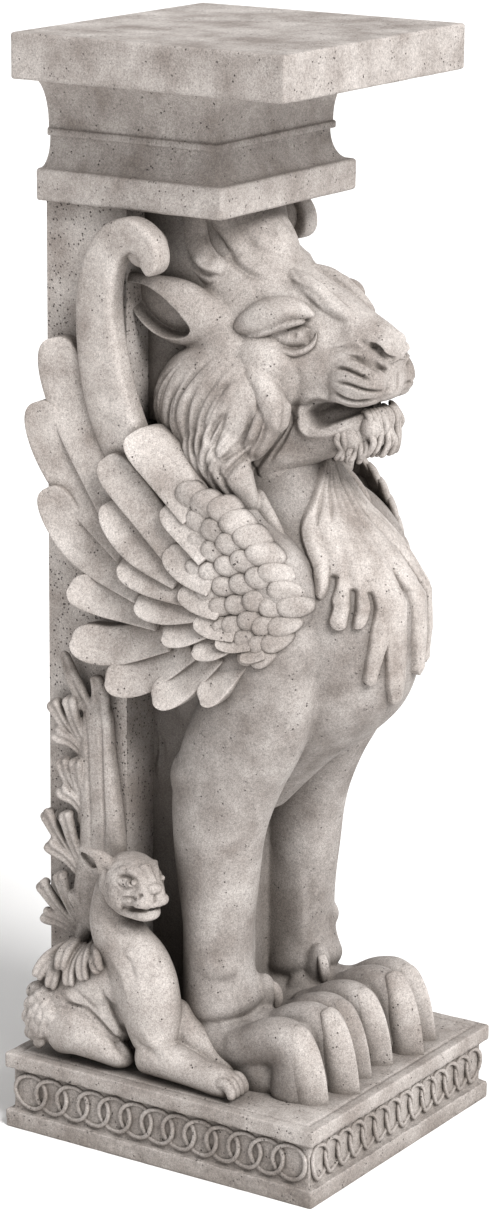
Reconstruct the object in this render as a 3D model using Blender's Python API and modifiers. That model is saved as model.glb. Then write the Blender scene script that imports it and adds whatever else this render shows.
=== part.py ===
"""Winged lion pedestal, cast stone, one solid.

A lion's head, chest and forelegs grow out of a square pier, with a wing, a cub and an acanthus
stem on each side. The pier carries a moulded capital and a square top slab, and stands on a
plinth whose faces have a band of linked rings.

Metres, +Z up. The lion faces -Y. The origin is the middle of the plinth's underside.
"""

import math

import bmesh
import bpy
from mathutils import Matrix, Vector

# Plinth: two slabs with a set-back frieze between them
PLINTH_WIDTH = 0.267
PLINTH_DEPTH = 0.286
FOOT_SLAB = 0.0145
FRIEZE_HEIGHT = 0.0346
FRIEZE_SETBACK = 0.005
STEP_SLAB = 0.013
PLINTH_TOP = FOOT_SLAB + FRIEZE_HEIGHT + STEP_SLAB

# Linked rings on the frieze
RING_PITCH = 0.0196
RING_RADIUS = 0.0138
RING_WIRE = 0.0021
RING_SEGMENTS = 8
RING_END_GAP = 0.0035

# Pier and capital
PIER_WIDTH = 0.160
PIER_FRONT = 0.063
PIER_BACK = 0.136
BAND_WIDTH = 0.187
BAND_FRONT = -0.030
BAND_HEIGHT = 0.0242
BAND_ROUND = 0.004
SCOTIA_HEIGHT = 0.023
SCOTIA_DEPTH = 0.0145
FILLET_HEIGHT = 0.0065
FILLET_PROUD = 0.003
CAVETTO_DEPTH = 0.024
CAVETTO_HEIGHT = 0.0402
CAVETTO_STEPS = 5

# Top slab
SLAB_WIDTH = 0.252
SLAB_FRONT = -0.104
SLAB_BACK = 0.1345
SLAB_THICKNESS = 0.0345
TOTAL_HEIGHT = 0.860
SLAB_EDGE = 0.0018
BAND_BOTTOM = (TOTAL_HEIGHT - SLAB_THICKNESS - CAVETTO_HEIGHT - FILLET_HEIGHT - SCOTIA_HEIGHT
               - BAND_HEIGHT)

# The carving is drawn between these two heights, then stretched to the room above the plinth
DRAWN_FOOT = 0.0621
DRAWN_TOP = 0.7316

# Lion
LEG_SPREAD = 0.059
LEG_RADIUS = 0.033
BODY_HALF_WIDTH = 0.045
NAPE_HALF_WIDTH = 0.055
MUZZLE_FRONT = -0.129
TOE_SPREAD = 0.032
PAW_OFFSET = 0.048
CLAW_TIP = -0.124

# Throat, chest and belly as level ovals: (height, front, half width)
CHEST_OVALS = (
    (0.255, -0.022, 0.030), (0.300, -0.064, 0.043), (0.330, -0.102, 0.054), (0.356, -0.127, 0.063),
    (0.386, -0.139, 0.068), (0.415, -0.142, 0.071), (0.445, -0.141, 0.070), (0.474, -0.119, 0.066),
    (0.500, -0.094, 0.058), (0.525, -0.077, 0.051), (0.550, -0.064, 0.048), (0.600, -0.050, 0.052),
)
CHEST_BACK = 0.070
CHEST_SIDES = 20
LEAF_TIPS = ((0.004, -0.145, 0.372), (0.026, -0.144, 0.383), (0.038, -0.127, 0.408),
             (0.052, -0.110, 0.425), (0.058, -0.092, 0.450))

# Wing: feather tips, bends and roots as (depth, height), and half widths, from the top feather down
FLIGHT_FACE = 0.091
FLIGHT_TIPS = ((0.118, 0.628), (0.127, 0.576), (0.124, 0.506), (0.103, 0.434),
               (0.103, 0.392), (0.067, 0.367), (0.024, 0.362), (-0.021, 0.371))
FLIGHT_BENDS = ((0.108, 0.562), (0.110, 0.519), (0.094, 0.464), (0.070, 0.422),
                (0.066, 0.389), (0.036, 0.375), (-0.001, 0.378), (-0.037, 0.386))
FLIGHT_ROOTS = ((0.066, 0.498), (0.050, 0.468), (0.034, 0.442), (0.020, 0.425),
                (0.012, 0.415), (-0.008, 0.412), (-0.030, 0.412), (-0.052, 0.412))
FLIGHT_HALF_WIDTHS = (0.0150, 0.0140, 0.0125, 0.0108, 0.0112, 0.0105, 0.0100, 0.0088)
COVERT_FACE = 0.098
COVERT_TIPS = ((0.046, 0.570), (0.059, 0.541), (0.064, 0.507), (0.052, 0.460),
               (0.037, 0.432), (0.012, 0.414), (-0.016, 0.408))
COVERT_BENDS = ((0.018, 0.542), (0.036, 0.512), (0.038, 0.481), (0.028, 0.454),
                (0.013, 0.433), (-0.008, 0.419), (-0.031, 0.411))
COVERT_ROOTS = ((-0.014, 0.515), (0.000, 0.482), (-0.002, 0.466), (-0.012, 0.455),
                (-0.020, 0.444), (-0.032, 0.434), (-0.050, 0.424))
COVERT_HALF_WIDTHS = (0.0115, 0.0110, 0.0100, 0.0088, 0.0080, 0.0070, 0.0058)
LESSER_FACE = 0.104
LESSER_TIPS = ((0.010, 0.517), (0.006, 0.482), (-0.007, 0.455), (-0.022, 0.434))
LESSER_BENDS = ((-0.008, 0.500), (-0.007, 0.470), (-0.018, 0.450), (-0.032, 0.432))
LESSER_ROOTS = ((-0.024, 0.484), (-0.026, 0.464), (-0.034, 0.446), (-0.046, 0.430))
LESSER_HALF_WIDTHS = (0.0085, 0.0085, 0.0075, 0.0065)
FEATHER_THICKNESS = 0.0045
FEATHER_LAP = 0.0011
FEATHER_RISE = 0.004
SCALE_ROWS = 3
SCALES_PER_ROW = 5
SCALE_RADII = (0.0080, 0.0098, 0.0090)

# How finely the carving is fused and then faceted
CLAY_VOXEL = 0.0030
CARVING_TRIANGLES = 3150

STONE_COLOUR = (0.60, 0.56, 0.53, 1.0)
STONE_ROUGHNESS = 0.85


def clear_scene():
    for old in list(bpy.data.objects):
        bpy.data.objects.remove(old)


def make_collection(name):
    group = bpy.data.collections.new(name)
    bpy.context.scene.collection.children.link(group)
    return group


def stone_material():
    stone = bpy.data.materials.new("cast stone")
    stone.use_nodes = True
    shader = stone.node_tree.nodes["Principled BSDF"]
    shader.inputs["Base Color"].default_value = STONE_COLOUR
    shader.inputs["Roughness"].default_value = STONE_ROUGHNESS
    shader.inputs["Metallic"].default_value = 0.0
    return stone


def object_from(bm, name, group):
    """Puts a finished bmesh into a named object."""
    mesh = bpy.data.meshes.new(name)
    bm.to_mesh(mesh)
    bm.free()
    made = bpy.data.objects.new(name, mesh)
    group.objects.link(made)
    return made


def as_cutter(made):
    made.hide_render = True
    made.display_type = "WIRE"
    return made


def stretched(bm):
    """Fits drawn heights to the room between the plinth and the capital."""
    share = (BAND_BOTTOM - PLINTH_TOP) / (DRAWN_TOP - DRAWN_FOOT)
    for vert in bm.verts:
        vert.co.z = PLINTH_TOP + (vert.co.z - DRAWN_FOOT) * share
    return bm


def mix(a, b, share):
    return a + (b - a) * share


def smooth_path(points, count):
    """Catmull-Rom line through the points, read at equal steps."""
    knots = [Vector(p) for p in points]
    knots = [knots[0] * 2 - knots[1]] + knots + [knots[-1] * 2 - knots[-2]]
    spans = len(knots) - 3
    line = []
    for i in range(count):
        where = spans * i / (count - 1)
        k = min(int(where), spans - 1)
        t = where - k
        a, b, c, d = knots[k : k + 4]
        line.append(0.5 * (2 * b + (c - a) * t + (2 * a - 5 * b + 4 * c - d) * t**2
                           + (3 * b - a - 3 * c + d) * t**3))
    return line


def smooth_values(values, count):
    """The same curve through plain numbers."""
    return [p.x for p in smooth_path([(v, 0.0, 0.0) for v in values], count)]


def bridge(bm, rings):
    """Closed skin over rings of equal count, with fan ends."""
    loops = [[bm.verts.new(p) for p in ring] for ring in rings]
    count = len(loops[0])
    for low, high in zip(loops, loops[1:]):
        for i in range(count):
            j = (i + 1) % count
            bm.faces.new((low[i], low[j], high[j], high[i]))
    bm.faces.new(list(reversed(loops[0])))
    bm.faces.new(loops[-1])


def limb(bm, points, widths, depths=None, steps=9, sides=8, section=None):
    """Tube along a smooth path. Widths are half sizes along X, depths across it."""
    section = section or [
        (math.cos(2 * math.pi * k / sides), math.sin(2 * math.pi * k / sides)) for k in range(sides)
    ]
    facing = Vector((1.0, 0.0, 0.0))
    line = smooth_path(points, steps)
    wide = smooth_values(widths, steps)
    deep = smooth_values(depths or widths, steps)
    rings = []
    for i, centre in enumerate(line):
        ahead = line[min(i + 1, steps - 1)] - line[max(i - 1, 0)]
        ahead.normalize()
        across = facing - ahead * ahead.dot(facing)
        across.normalize()
        other = ahead.cross(across)
        rings.append([centre + across * wide[i] * a + other * deep[i] * b for a, b in section])
    bridge(bm, rings)


def lump(bm, centre, radii, tilt=0.0):
    """Ellipsoid, tilted about the X axis by tilt degrees."""
    turn = Matrix.Translation(centre) @ Matrix.Rotation(math.radians(tilt), 4, "X")
    bmesh.ops.create_uvsphere(
        bm, u_segments=16, v_segments=10, radius=1.0, matrix=turn @ Matrix.Diagonal((*radii, 1.0))
    )


def slab_of(bm, low, high):
    """Plain block between two corners."""
    size = Vector(high) - Vector(low)
    middle = (Vector(high) + Vector(low)) / 2
    place = Matrix.Translation(middle) @ Matrix.Diagonal((*size, 1.0))
    bmesh.ops.create_cube(bm, size=1.0, matrix=place)


def moulding(bm, rows):
    """Mitred square block: each row is (height, half width, front, back)."""
    bridge(bm, [
        [Vector((-w, f, z)), Vector((w, f, z)), Vector((w, b, z)), Vector((-w, b, z))]
        for z, w, f, b in rows
    ])


def quarter_rows(low, high, outer, inner, start_flat):
    """Heights and insets of a quarter hollow between two heights."""
    rows = []
    for i in range(CAVETTO_STEPS + 1):
        turn = math.pi / 2 * i / CAVETTO_STEPS
        if start_flat:
            rows.append((mix(low, high, math.sin(turn)), mix(outer, inner, 1 - math.cos(turn))))
        else:
            rows.append((mix(low, high, 1 - math.cos(turn)), mix(outer, inner, math.sin(turn))))
    return rows


def build_plinth(group):
    bm = bmesh.new()
    half, front, back = PLINTH_WIDTH / 2, -PLINTH_DEPTH / 2, PLINTH_DEPTH / 2
    inner = (half - FRIEZE_SETBACK, front + FRIEZE_SETBACK, back - FRIEZE_SETBACK)
    top_of_frieze = FOOT_SLAB + FRIEZE_HEIGHT
    moulding(bm, [
        (0.0, half, front, back),
        (FOOT_SLAB, half, front, back),
        (FOOT_SLAB, *inner),
        (top_of_frieze, *inner),
        (top_of_frieze, half, front, back),
        (PLINTH_TOP, half, front, back),
    ])
    return object_from(bm, "winged_lion_pedestal", group)


def build_rings(group):
    """One cutter per ring: front and both flanks; the back stays plain."""
    made = []
    height = FOOT_SLAB + FRIEZE_HEIGHT / 2
    faces = (
        (PLINTH_WIDTH, PLINTH_DEPTH, 0.0),
        (PLINTH_DEPTH, PLINTH_WIDTH, 90.0),
        (PLINTH_DEPTH, PLINTH_WIDTH, -90.0),
    )
    for run, across, turn in faces:
        room = run - 2 * (FRIEZE_SETBACK + RING_RADIUS + RING_WIRE + RING_END_GAP)
        count = int(room / RING_PITCH) + 1
        for i in range(count):
            along = (i - (count - 1) / 2) * room / (count - 1)
            spin = Matrix.Rotation(math.radians(turn), 4, "Z")
            place = spin @ Matrix.Translation((along, -across / 2 + FRIEZE_SETBACK, height))
            bpy.ops.mesh.primitive_torus_add(
                major_segments=RING_SEGMENTS, minor_segments=3,
                major_radius=RING_RADIUS, minor_radius=RING_WIRE,
            )
            ring = bpy.context.object
            ring.name = f"ring_{len(made) + 1:02d}"
            ring.data.transform(place @ Matrix.Rotation(math.pi / 2, 4, "X"))
            for old in list(ring.users_collection):
                old.objects.unlink(ring)
            group.objects.link(ring)
            made.append(as_cutter(ring))
    return made


def build_pier(group):
    bm = bmesh.new()
    sunk = PLINTH_TOP - STEP_SLAB / 2
    top = BAND_BOTTOM + BAND_HEIGHT / 2
    slab_of(bm, (-PIER_WIDTH / 2, PIER_FRONT, sunk), (PIER_WIDTH / 2, PIER_BACK, top))
    return as_cutter(object_from(bm, "pier", group))


def build_capital(group):
    """Band, scotia, fillet and cavetto in one mitred profile; the back is nearly flush."""
    band_top = BAND_BOTTOM + BAND_HEIGHT
    scotia_top = band_top + SCOTIA_HEIGHT
    fillet_top = scotia_top + FILLET_HEIGHT
    slab_under = TOTAL_HEIGHT - SLAB_THICKNESS
    rows = [
        (BAND_BOTTOM, BAND_ROUND / 2),
        (BAND_BOTTOM + BAND_ROUND / 2, 0.0),
        (band_top - BAND_ROUND, 0.0),
        (band_top, BAND_ROUND / 2),
    ]
    rows += quarter_rows(band_top, scotia_top, BAND_ROUND, SCOTIA_DEPTH, False)
    proud = SCOTIA_DEPTH - FILLET_PROUD
    rows += [(scotia_top, proud), (fillet_top, proud)]
    flare = SCOTIA_DEPTH - CAVETTO_DEPTH
    rows += quarter_rows(fillet_top, slab_under, SCOTIA_DEPTH, flare, True)
    rows += [(slab_under + SLAB_THICKNESS / 2, flare)]
    back_share = 0.15
    bm = bmesh.new()
    moulding(bm, [
        (z, BAND_WIDTH / 2 - inset, BAND_FRONT + inset, PIER_BACK - inset * back_share)
        for z, inset in rows
    ])
    bmesh.ops.remove_doubles(bm, verts=bm.verts, dist=1e-6)
    bmesh.ops.recalc_face_normals(bm, faces=bm.faces)
    return as_cutter(object_from(bm, "capital", group))


def build_top_slab(group):
    bm = bmesh.new()
    low = TOTAL_HEIGHT - SLAB_THICKNESS
    half = SLAB_WIDTH / 2
    rows = [
        (low, half - SLAB_EDGE, SLAB_FRONT + SLAB_EDGE, SLAB_BACK - SLAB_EDGE),
        (low + SLAB_EDGE, half, SLAB_FRONT, SLAB_BACK),
        (TOTAL_HEIGHT - SLAB_EDGE, half, SLAB_FRONT, SLAB_BACK),
        (TOTAL_HEIGHT, half - SLAB_EDGE, SLAB_FRONT + SLAB_EDGE, SLAB_BACK - SLAB_EDGE),
    ]
    moulding(bm, rows)
    return as_cutter(object_from(bm, "top_slab", group))


def carve_torso(bm, side):
    """Body behind the legs, nape, and half of the throat, chest and belly."""
    back = PIER_FRONT + 0.03
    slab_of(bm, (0.0, 0.0, DRAWN_FOOT - 0.006), (side * BODY_HALF_WIDTH, back, 0.60))
    slab_of(bm, (0.0, -0.008, 0.56), (side * NAPE_HALF_WIDTH, back, DRAWN_TOP + 0.008))
    lump(bm, (side * 0.058, -0.040, 0.405), (0.036, 0.052, 0.060), 20)
    if side > 0:
        return
    turns = [2 * math.pi * k / CHEST_SIDES for k in range(CHEST_SIDES)]
    rings = []
    for height, front, half_width in CHEST_OVALS:
        middle, reach = (CHEST_BACK + front) / 2, (CHEST_BACK - front) / 2
        rings.append([
            Vector((half_width * math.cos(turn), middle + reach * math.sin(turn), height))
            for turn in turns
        ])
    bridge(bm, rings)


def carve_leg(bm, side):
    """Shoulder, foreleg and wrist down to the paw."""
    x = side * LEG_SPREAD
    limb(
        bm,
        [(x, -0.060, 0.425), (x, -0.040, 0.355), (x, -0.014, 0.295), (x, -0.008, 0.25),
         (x, -0.005, 0.20), (x * 0.98, -0.010, 0.155), (x * 0.93, -0.03, 0.11)],
        [0.034, 0.035, 0.035, LEG_RADIUS, LEG_RADIUS * 0.93, LEG_RADIUS * 1.02, 0.036],
        [0.046, 0.046, 0.046, 0.040, LEG_RADIUS * 1.02, LEG_RADIUS * 1.10, 0.038],
        steps=14,
        sides=12,
    )
    lump(bm, (x, 0.016, 0.292), (0.024, 0.019, 0.024))
    lump(bm, (x * 1.15, 0.012, 0.152), (0.024, 0.020, 0.020))


def carve_paw(bm, side):
    """Foot, three toes with long claws, and the dewclaw."""
    centre = side * PAW_OFFSET
    lump(bm, (centre, -0.045, 0.092), (0.048, 0.056, 0.034), -6)
    lump(bm, (centre * 1.1, -0.008, 0.085), (0.040, 0.036, 0.032))
    for step in (-1, 0, 1):
        x = centre + step * TOE_SPREAD
        lead = CLAW_TIP - (0.010 if step == 0 else 0.0)
        knuckle = lead + 0.030
        limb(
            bm,
            [(x, knuckle + 0.040, 0.104), (x, knuckle + 0.012, 0.112), (x, knuckle - 0.004, 0.102),
             (x, knuckle + 0.002, 0.072), (x, knuckle + 0.004, DRAWN_FOOT - 0.004)],
            [0.015, 0.0165, 0.0165, 0.0155, 0.015],
            [0.020, 0.020, 0.019, 0.018, 0.018],
        )
        limb(
            bm,
            [(x, lead + 0.024, 0.117), (x, lead + 0.012, 0.107), (x, lead + 0.004, 0.088),
             (x, lead + 0.003, DRAWN_FOOT - 0.003)],
            [0.007, 0.0125, 0.0120, 0.0035],
            [0.006, 0.013, 0.014, 0.009],
            steps=8,
        )
    lump(bm, (side * 0.032, -0.046, 0.130), (0.011, 0.013, 0.018), 14)


def carve_head(bm, side):
    """Skull, brow, cheek, muzzle, jaw, ear and beard."""
    lump(bm, (0.0, -0.010, 0.672), (0.056, 0.050, 0.056))
    lump(bm, (side * 0.031, -0.058, 0.667), (0.023, 0.026, 0.013), -20)
    lump(bm, (side * 0.026, -0.045, 0.628), (0.034, 0.044, 0.040))
    limb(
        bm,
        [(0.0, -0.030, 0.692), (0.0, -0.072, 0.672), (0.0, -0.104, 0.655), (0.0, MUZZLE_FRONT, 0.637)],
        [0.034, 0.024, 0.019, 0.018],
        [0.026, 0.018, 0.015, 0.011],
        steps=10,
    )
    limb(
        bm,
        [(side * 0.014, -0.060, 0.622), (side * 0.018, -0.090, 0.614),
         (side * 0.015, MUZZLE_FRONT + 0.012, 0.608)],
        [0.028, 0.021, 0.015],
        steps=8,
    )
    lump(bm, (side * 0.018, MUZZLE_FRONT + 0.020, 0.610), (0.017, 0.022, 0.016))
    lump(bm, (side * 0.045, -0.022, 0.605), (0.028, 0.036, 0.040))
    limb(
        bm,
        [(0.0, -0.020, 0.570), (0.0, -0.070, 0.566), (0.0, -0.116, 0.573)],
        [0.044, 0.032, 0.020],
        [0.028, 0.018, 0.010],
        steps=8,
    )
    limb(
        bm,
        [(side * 0.007, -0.121, 0.582), (side * 0.008, -0.126, 0.568), (side * 0.006, -0.115, 0.552)],
        [0.010, 0.011, 0.006],
        [0.009, 0.010, 0.006],
        steps=6,
    )
    limb(
        bm,
        [(side * 0.020, -0.104, 0.576), (side * 0.023, -0.103, 0.562), (side * 0.020, -0.094, 0.550)],
        [0.008, 0.009, 0.005],
        [0.010, 0.011, 0.007],
        steps=6,
    )
    limb(
        bm,
        [(side * 0.052, -0.008, 0.646), (side * 0.066, 0.020, 0.654), (side * 0.074, 0.048, 0.664),
         (side * 0.077, 0.070, 0.675)],
        [0.009, 0.009, 0.007, 0.003],
        [0.013, 0.022, 0.018, 0.004],
    )


def carve_mane(bm, side):
    """Cheek mane as locks that fall from the ear to the shoulder, and the forelock's waves."""
    lump(bm, (side * 0.052, 0.004, 0.578), (0.030, 0.046, 0.052))
    locks = 8
    for i in range(locks):
        t = i / (locks - 1)
        top = Vector((side * 0.062, mix(0.016, -0.030, t), mix(0.630, 0.617, t)))
        belly = Vector((side * 0.082, mix(0.048, -0.036, t), mix(0.586, 0.575, t)))
        foot = Vector((side * mix(0.074, 0.064, t), mix(0.022, -0.050, t), mix(0.540, 0.505, t)))
        limb(bm, [top, mix(top, belly, 0.6), belly, foot], [0.004, 0.006, 0.007, 0.003], steps=7, sides=6)
    waves = 4
    for i in range(waves):
        t = i / (waves - 1)
        root = (side * 0.010, mix(-0.048, -0.010, t), 0.694)
        crest = (side * mix(0.026, 0.046, t), mix(-0.044, -0.004, t), 0.706)
        end = (side * mix(0.036, 0.062, t), mix(-0.022, 0.028, t), 0.728)
        limb(bm, [root, crest, end], [0.007, 0.010, 0.006], steps=6, sides=6)


def feather(bm, side, tip, bend, root, half_width, face, rise):
    """One curved blade, rounded at its tip, its root lifted outward by rise."""
    points = [
        (side * (face + rise * share), p[0], p[1])
        for p, share in ((tip, 0.0), (mix(Vector(tip), Vector(bend), 0.3), 0.1), (bend, 0.5), (root, 1.0))
    ]
    top = side * 0.8
    limb(bm, points, [FEATHER_THICKNESS * 0.6] + [FEATHER_THICKNESS] * 3,
         [half_width * 0.5, half_width, half_width * 1.05, half_width * 0.9], steps=4,
         section=((-side * 2.6, -1.0), (top, -0.7), (top, 0.7), (-side * 2.6, 1.0)))


def wing_parts(group):
    """Every feather and scale as its own cutter, so the blades stay crisp."""
    rows = (
        (FLIGHT_TIPS, FLIGHT_BENDS, FLIGHT_ROOTS, FLIGHT_HALF_WIDTHS, FLIGHT_FACE),
        (COVERT_TIPS, COVERT_BENDS, COVERT_ROOTS, COVERT_HALF_WIDTHS, COVERT_FACE),
        (LESSER_TIPS, LESSER_BENDS, LESSER_ROOTS, LESSER_HALF_WIDTHS, LESSER_FACE),
    )
    for side in (-1, 1):
        for tips, bends, roots, half_widths, face in rows:
            for i, (tip, bend, root, half_width) in enumerate(zip(tips, bends, roots, half_widths)):
                bm = bmesh.new()
                feather(bm, side, tip, bend, root, half_width, face + FEATHER_LAP * (i % 2), FEATHER_RISE)
                stretched(bm)
                bmesh.ops.recalc_face_normals(bm, faces=bm.faces)
                as_cutter(object_from(bm, f"feather_{len(group.objects) + 1:02d}", group))
        for row in range(SCALE_ROWS):
            for i in range(SCALES_PER_ROW):
                t = (i + 0.5 * (row % 2)) / SCALES_PER_ROW
                y = mix(-0.034, -0.106, t) + 0.012 * row
                z = mix(0.516, 0.457, t) - 0.0145 * row
                bulge = 0.105 - 0.0020 * (row - 1) ** 2 - 0.007 * t**3
                place = Matrix.Translation((side * bulge, y, z)) @ Matrix.Diagonal((*SCALE_RADII, 1.0))
                bm = bmesh.new()
                bmesh.ops.create_uvsphere(bm, u_segments=6, v_segments=3, radius=1.0, matrix=place)
                stretched(bm)
                as_cutter(object_from(bm, f"scale_{len(group.objects) + 1:02d}", group))


def carve_wing(bm, side):
    """Scroll, and the shoulder under the feathers."""
    limb(bm, [(side * 0.086, 0.038, 0.510), (side * 0.090, 0.058, 0.555), (side * 0.090, 0.075, 0.603),
              (side * 0.090, 0.081, 0.650), (side * 0.090, 0.076, 0.686), (side * 0.090, 0.060, 0.709),
              (side * 0.090, 0.040, 0.711), (side * 0.090, 0.032, 0.703)],
         [0.011, 0.011, 0.011, 0.011, 0.011, 0.012, 0.013, 0.012],
         [0.020, 0.021, 0.018, 0.0160, 0.0165, 0.0195, 0.021, 0.016], steps=20)
    limb(bm, [(side * 0.080, 0.020, 0.548), (side * 0.088, -0.012, 0.522), (side * 0.088, -0.048, 0.494),
              (side * 0.085, -0.074, 0.470), (side * 0.078, -0.088, 0.458)],
         [0.014, 0.018, 0.020, 0.018, 0.010], [0.012, 0.018, 0.026, 0.025, 0.014], steps=10)
    lump(bm, (side * 0.076, -0.038, 0.468), (0.033, 0.064, 0.044), 32)
    lump(bm, (side * 0.070, 0.005, 0.450), (0.027, 0.060, 0.052))


def carve_leaf(bm, side):
    """Acanthus bib on the chest: fingers spread from the throat."""
    for x, y, z in LEAF_TIPS:
        limb(
            bm,
            [(side * 0.006, -0.066, 0.548), (side * (0.012 + x * 0.35), -0.098, 0.505),
             (side * x * 0.9, y, mix(z, 0.50, 0.42)), (side * x, y, z + 0.006)],
            [0.006, 0.010, 0.011, 0.007],
            [0.008, 0.009, 0.007, 0.006],
            steps=8,
        )


def carve_cub(bm, side):
    """Seated cub: rump, body, head, foreleg and hind leg."""
    x = side * 0.100
    limb(
        bm,
        [(x, 0.116, 0.085), (x, 0.096, 0.112), (x, 0.068, 0.150), (x, 0.052, 0.190)],
        [0.026, 0.028, 0.025, 0.018],
        [0.030, 0.034, 0.030, 0.022],
        sides=10,
    )
    lump(bm, (side * 0.105, 0.100, 0.088), (0.024, 0.040, 0.026), -30)
    lump(bm, (side * 0.112, 0.124, 0.080), (0.018, 0.0175, 0.017))
    lump(bm, (side * 0.104, 0.040, 0.214), (0.026, 0.028, 0.024), 10)
    lump(bm, (side * 0.108, 0.016, 0.203), (0.016, 0.017, 0.013), 20)
    limb(
        bm,
        [(side * 0.116, 0.054, 0.226), (side * 0.118, 0.074, 0.228), (side * 0.118, 0.086, 0.231)],
        [0.006, 0.006, 0.003],
        [0.011, 0.010, 0.004],
        steps=5,
        sides=6,
    )
    limb(
        bm,
        [(side * 0.102, 0.050, 0.155), (side * 0.104, 0.028, 0.125), (side * 0.107, 0.012, 0.098),
         (side * 0.110, -0.020, 0.082), (side * 0.112, -0.050, 0.073)],
        [0.018, 0.020, 0.016, 0.013, 0.012],
        [0.024, 0.024, 0.018, 0.013, 0.010],
        steps=10,
    )
    limb(
        bm,
        [(side * 0.106, 0.120, 0.090), (side * 0.108, 0.078, 0.080), (side * 0.108, 0.040, 0.072)],
        [0.016, 0.014, 0.010],
        [0.022, 0.017, 0.010],
        steps=6,
    )


def carve_stem(bm, side):
    """Acanthus stem on the pier's flank, with fans of lobes on its back edge."""
    x = side * (PIER_WIDTH / 2 + 0.002)
    lump(bm, (x, 0.104, 0.146), (0.010, 0.020, 0.020))
    limb(
        bm,
        [(x, 0.104, 0.150), (x, 0.090, 0.205), (x, 0.087, 0.255), (x, 0.092, 0.305),
         (x, 0.102, 0.350), (x, 0.112, 0.378)],
        [0.010, 0.011, 0.010, 0.009, 0.007, 0.004],
        [0.020, 0.022, 0.020, 0.014, 0.009, 0.004],
        steps=12,
    )
    for base, lean in ((0.318, 0), (0.268, 0), (0.222, 6), (0.182, 12), (0.150, 18)):
        for finger in range(3):
            turn = math.radians(62 - 34 * finger - lean)
            reach = 0.030 - 0.004 * finger
            start = Vector((0.100 + lean * 0.0004, base - 0.012))
            end = start + Vector((math.cos(turn), math.sin(turn))) * reach
            bend = mix(start, end, 0.6)
            limb(
                bm,
                [(x, start.x, start.y), (x * 1.04, bend.x, bend.y), (x * 1.03, end.x, end.y)],
                [0.005, 0.007, 0.006],
                [0.005, 0.006, 0.005],
                steps=5,
                sides=6,
            )


def build_carving(group):
    """All carved forms fused into one skin, then faceted to a set number of triangles."""
    bm = bmesh.new()
    carvers = (
        carve_torso, carve_leg, carve_paw, carve_head, carve_mane, carve_wing, carve_leaf, carve_cub,
        carve_stem,
    )
    for side in (-1, 1):
        for carve in carvers:
            carve(bm, side)
    stretched(bm)
    bmesh.ops.recalc_face_normals(bm, faces=bm.faces)
    carving = object_from(bm, "lion_carving", group)
    fuse = carving.modifiers.new("fuse", "REMESH")
    fuse.mode = "VOXEL"
    fuse.voxel_size = CLAY_VOXEL
    soften = carving.modifiers.new("soften", "SMOOTH")
    soften.factor = 0.5
    soften.iterations = 2
    facet = carving.modifiers.new("facet", "DECIMATE")
    facet.use_collapse_triangulate = True
    view = bpy.context.evaluated_depsgraph_get()
    dense = bpy.data.meshes.new_from_object(carving.evaluated_get(view))
    dense.calc_loop_triangles()
    return as_cutter(carving), facet, len(dense.loop_triangles)


def main():
    clear_scene()
    shown = make_collection("winged lion pedestal")
    tools = make_collection("cutters")
    rings = make_collection("frieze rings")
    feathers = make_collection("wing parts")
    pedestal = build_plinth(shown)
    pedestal.data.materials.append(stone_material())
    build_rings(rings)
    wing_parts(feathers)
    additions = [build_pier(tools), build_capital(tools), build_top_slab(tools)]
    carving, facet, dense = build_carving(tools)
    facet.ratio = CARVING_TRIANGLES / dense
    additions.append(carving)
    for piece in additions:
        join = pedestal.modifiers.new("add " + piece.name, "BOOLEAN")
        join.operation = "UNION"
        join.object = piece
    for small_parts in (feathers, rings):
        join = pedestal.modifiers.new("add " + small_parts.name, "BOOLEAN")
        join.operation = "UNION"
        join.operand_type = "COLLECTION"
        join.collection = small_parts


main()
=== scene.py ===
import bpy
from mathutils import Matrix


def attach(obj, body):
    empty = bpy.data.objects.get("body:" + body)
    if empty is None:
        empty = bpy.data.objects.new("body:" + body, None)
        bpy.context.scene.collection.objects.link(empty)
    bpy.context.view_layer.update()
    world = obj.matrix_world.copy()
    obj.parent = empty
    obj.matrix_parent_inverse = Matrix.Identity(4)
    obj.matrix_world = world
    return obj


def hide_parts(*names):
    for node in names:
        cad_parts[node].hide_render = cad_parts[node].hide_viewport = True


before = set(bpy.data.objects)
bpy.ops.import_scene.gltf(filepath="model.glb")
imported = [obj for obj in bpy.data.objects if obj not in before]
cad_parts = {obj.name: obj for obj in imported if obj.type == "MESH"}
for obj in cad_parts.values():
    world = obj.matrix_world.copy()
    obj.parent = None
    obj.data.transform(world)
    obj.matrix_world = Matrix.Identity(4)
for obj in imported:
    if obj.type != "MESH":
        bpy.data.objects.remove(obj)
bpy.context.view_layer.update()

import math
import bpy
import numpy as np
from mathutils import Matrix, Vector

# Winged lion pedestal, cast stone. Lengths in the dictionaries are millimetres in the model's own
# frame: x to the lion's left, y to its back, z up. The lion mirrors across x = 0, so its forms are
# written once, on the +x side, and the script makes both.

mm = 0.001
castNode = "winged_lion_pedestal"


# Shapes

def curveAt(points, where):
    # Catmull-Rom line through the points, read at the given shares of its length in knots
    knots = np.asarray(points, float).reshape(len(points), -1)
    knots = np.vstack([2 * knots[0] - knots[1], knots, 2 * knots[-1] - knots[-2]])
    spans = len(knots) - 3
    at = np.clip(np.asarray(where, float), 0, 1) * spans
    k = np.minimum(at.astype(int), spans - 1)
    t = (at - k)[:, None]
    a, b, c, d = knots[k], knots[k + 1], knots[k + 2], knots[k + 3]
    bend, twist = 2 * a - 5 * b + 4 * c - d, 3 * b - a - 3 * c + d
    return 0.5 * (2 * b + (c - a) * t + bend * t**2 + twist * t**3)


def unit(vectors):
    return vectors / np.maximum(np.linalg.norm(vectors, axis=-1, keepdims=True), 1e-12)


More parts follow.
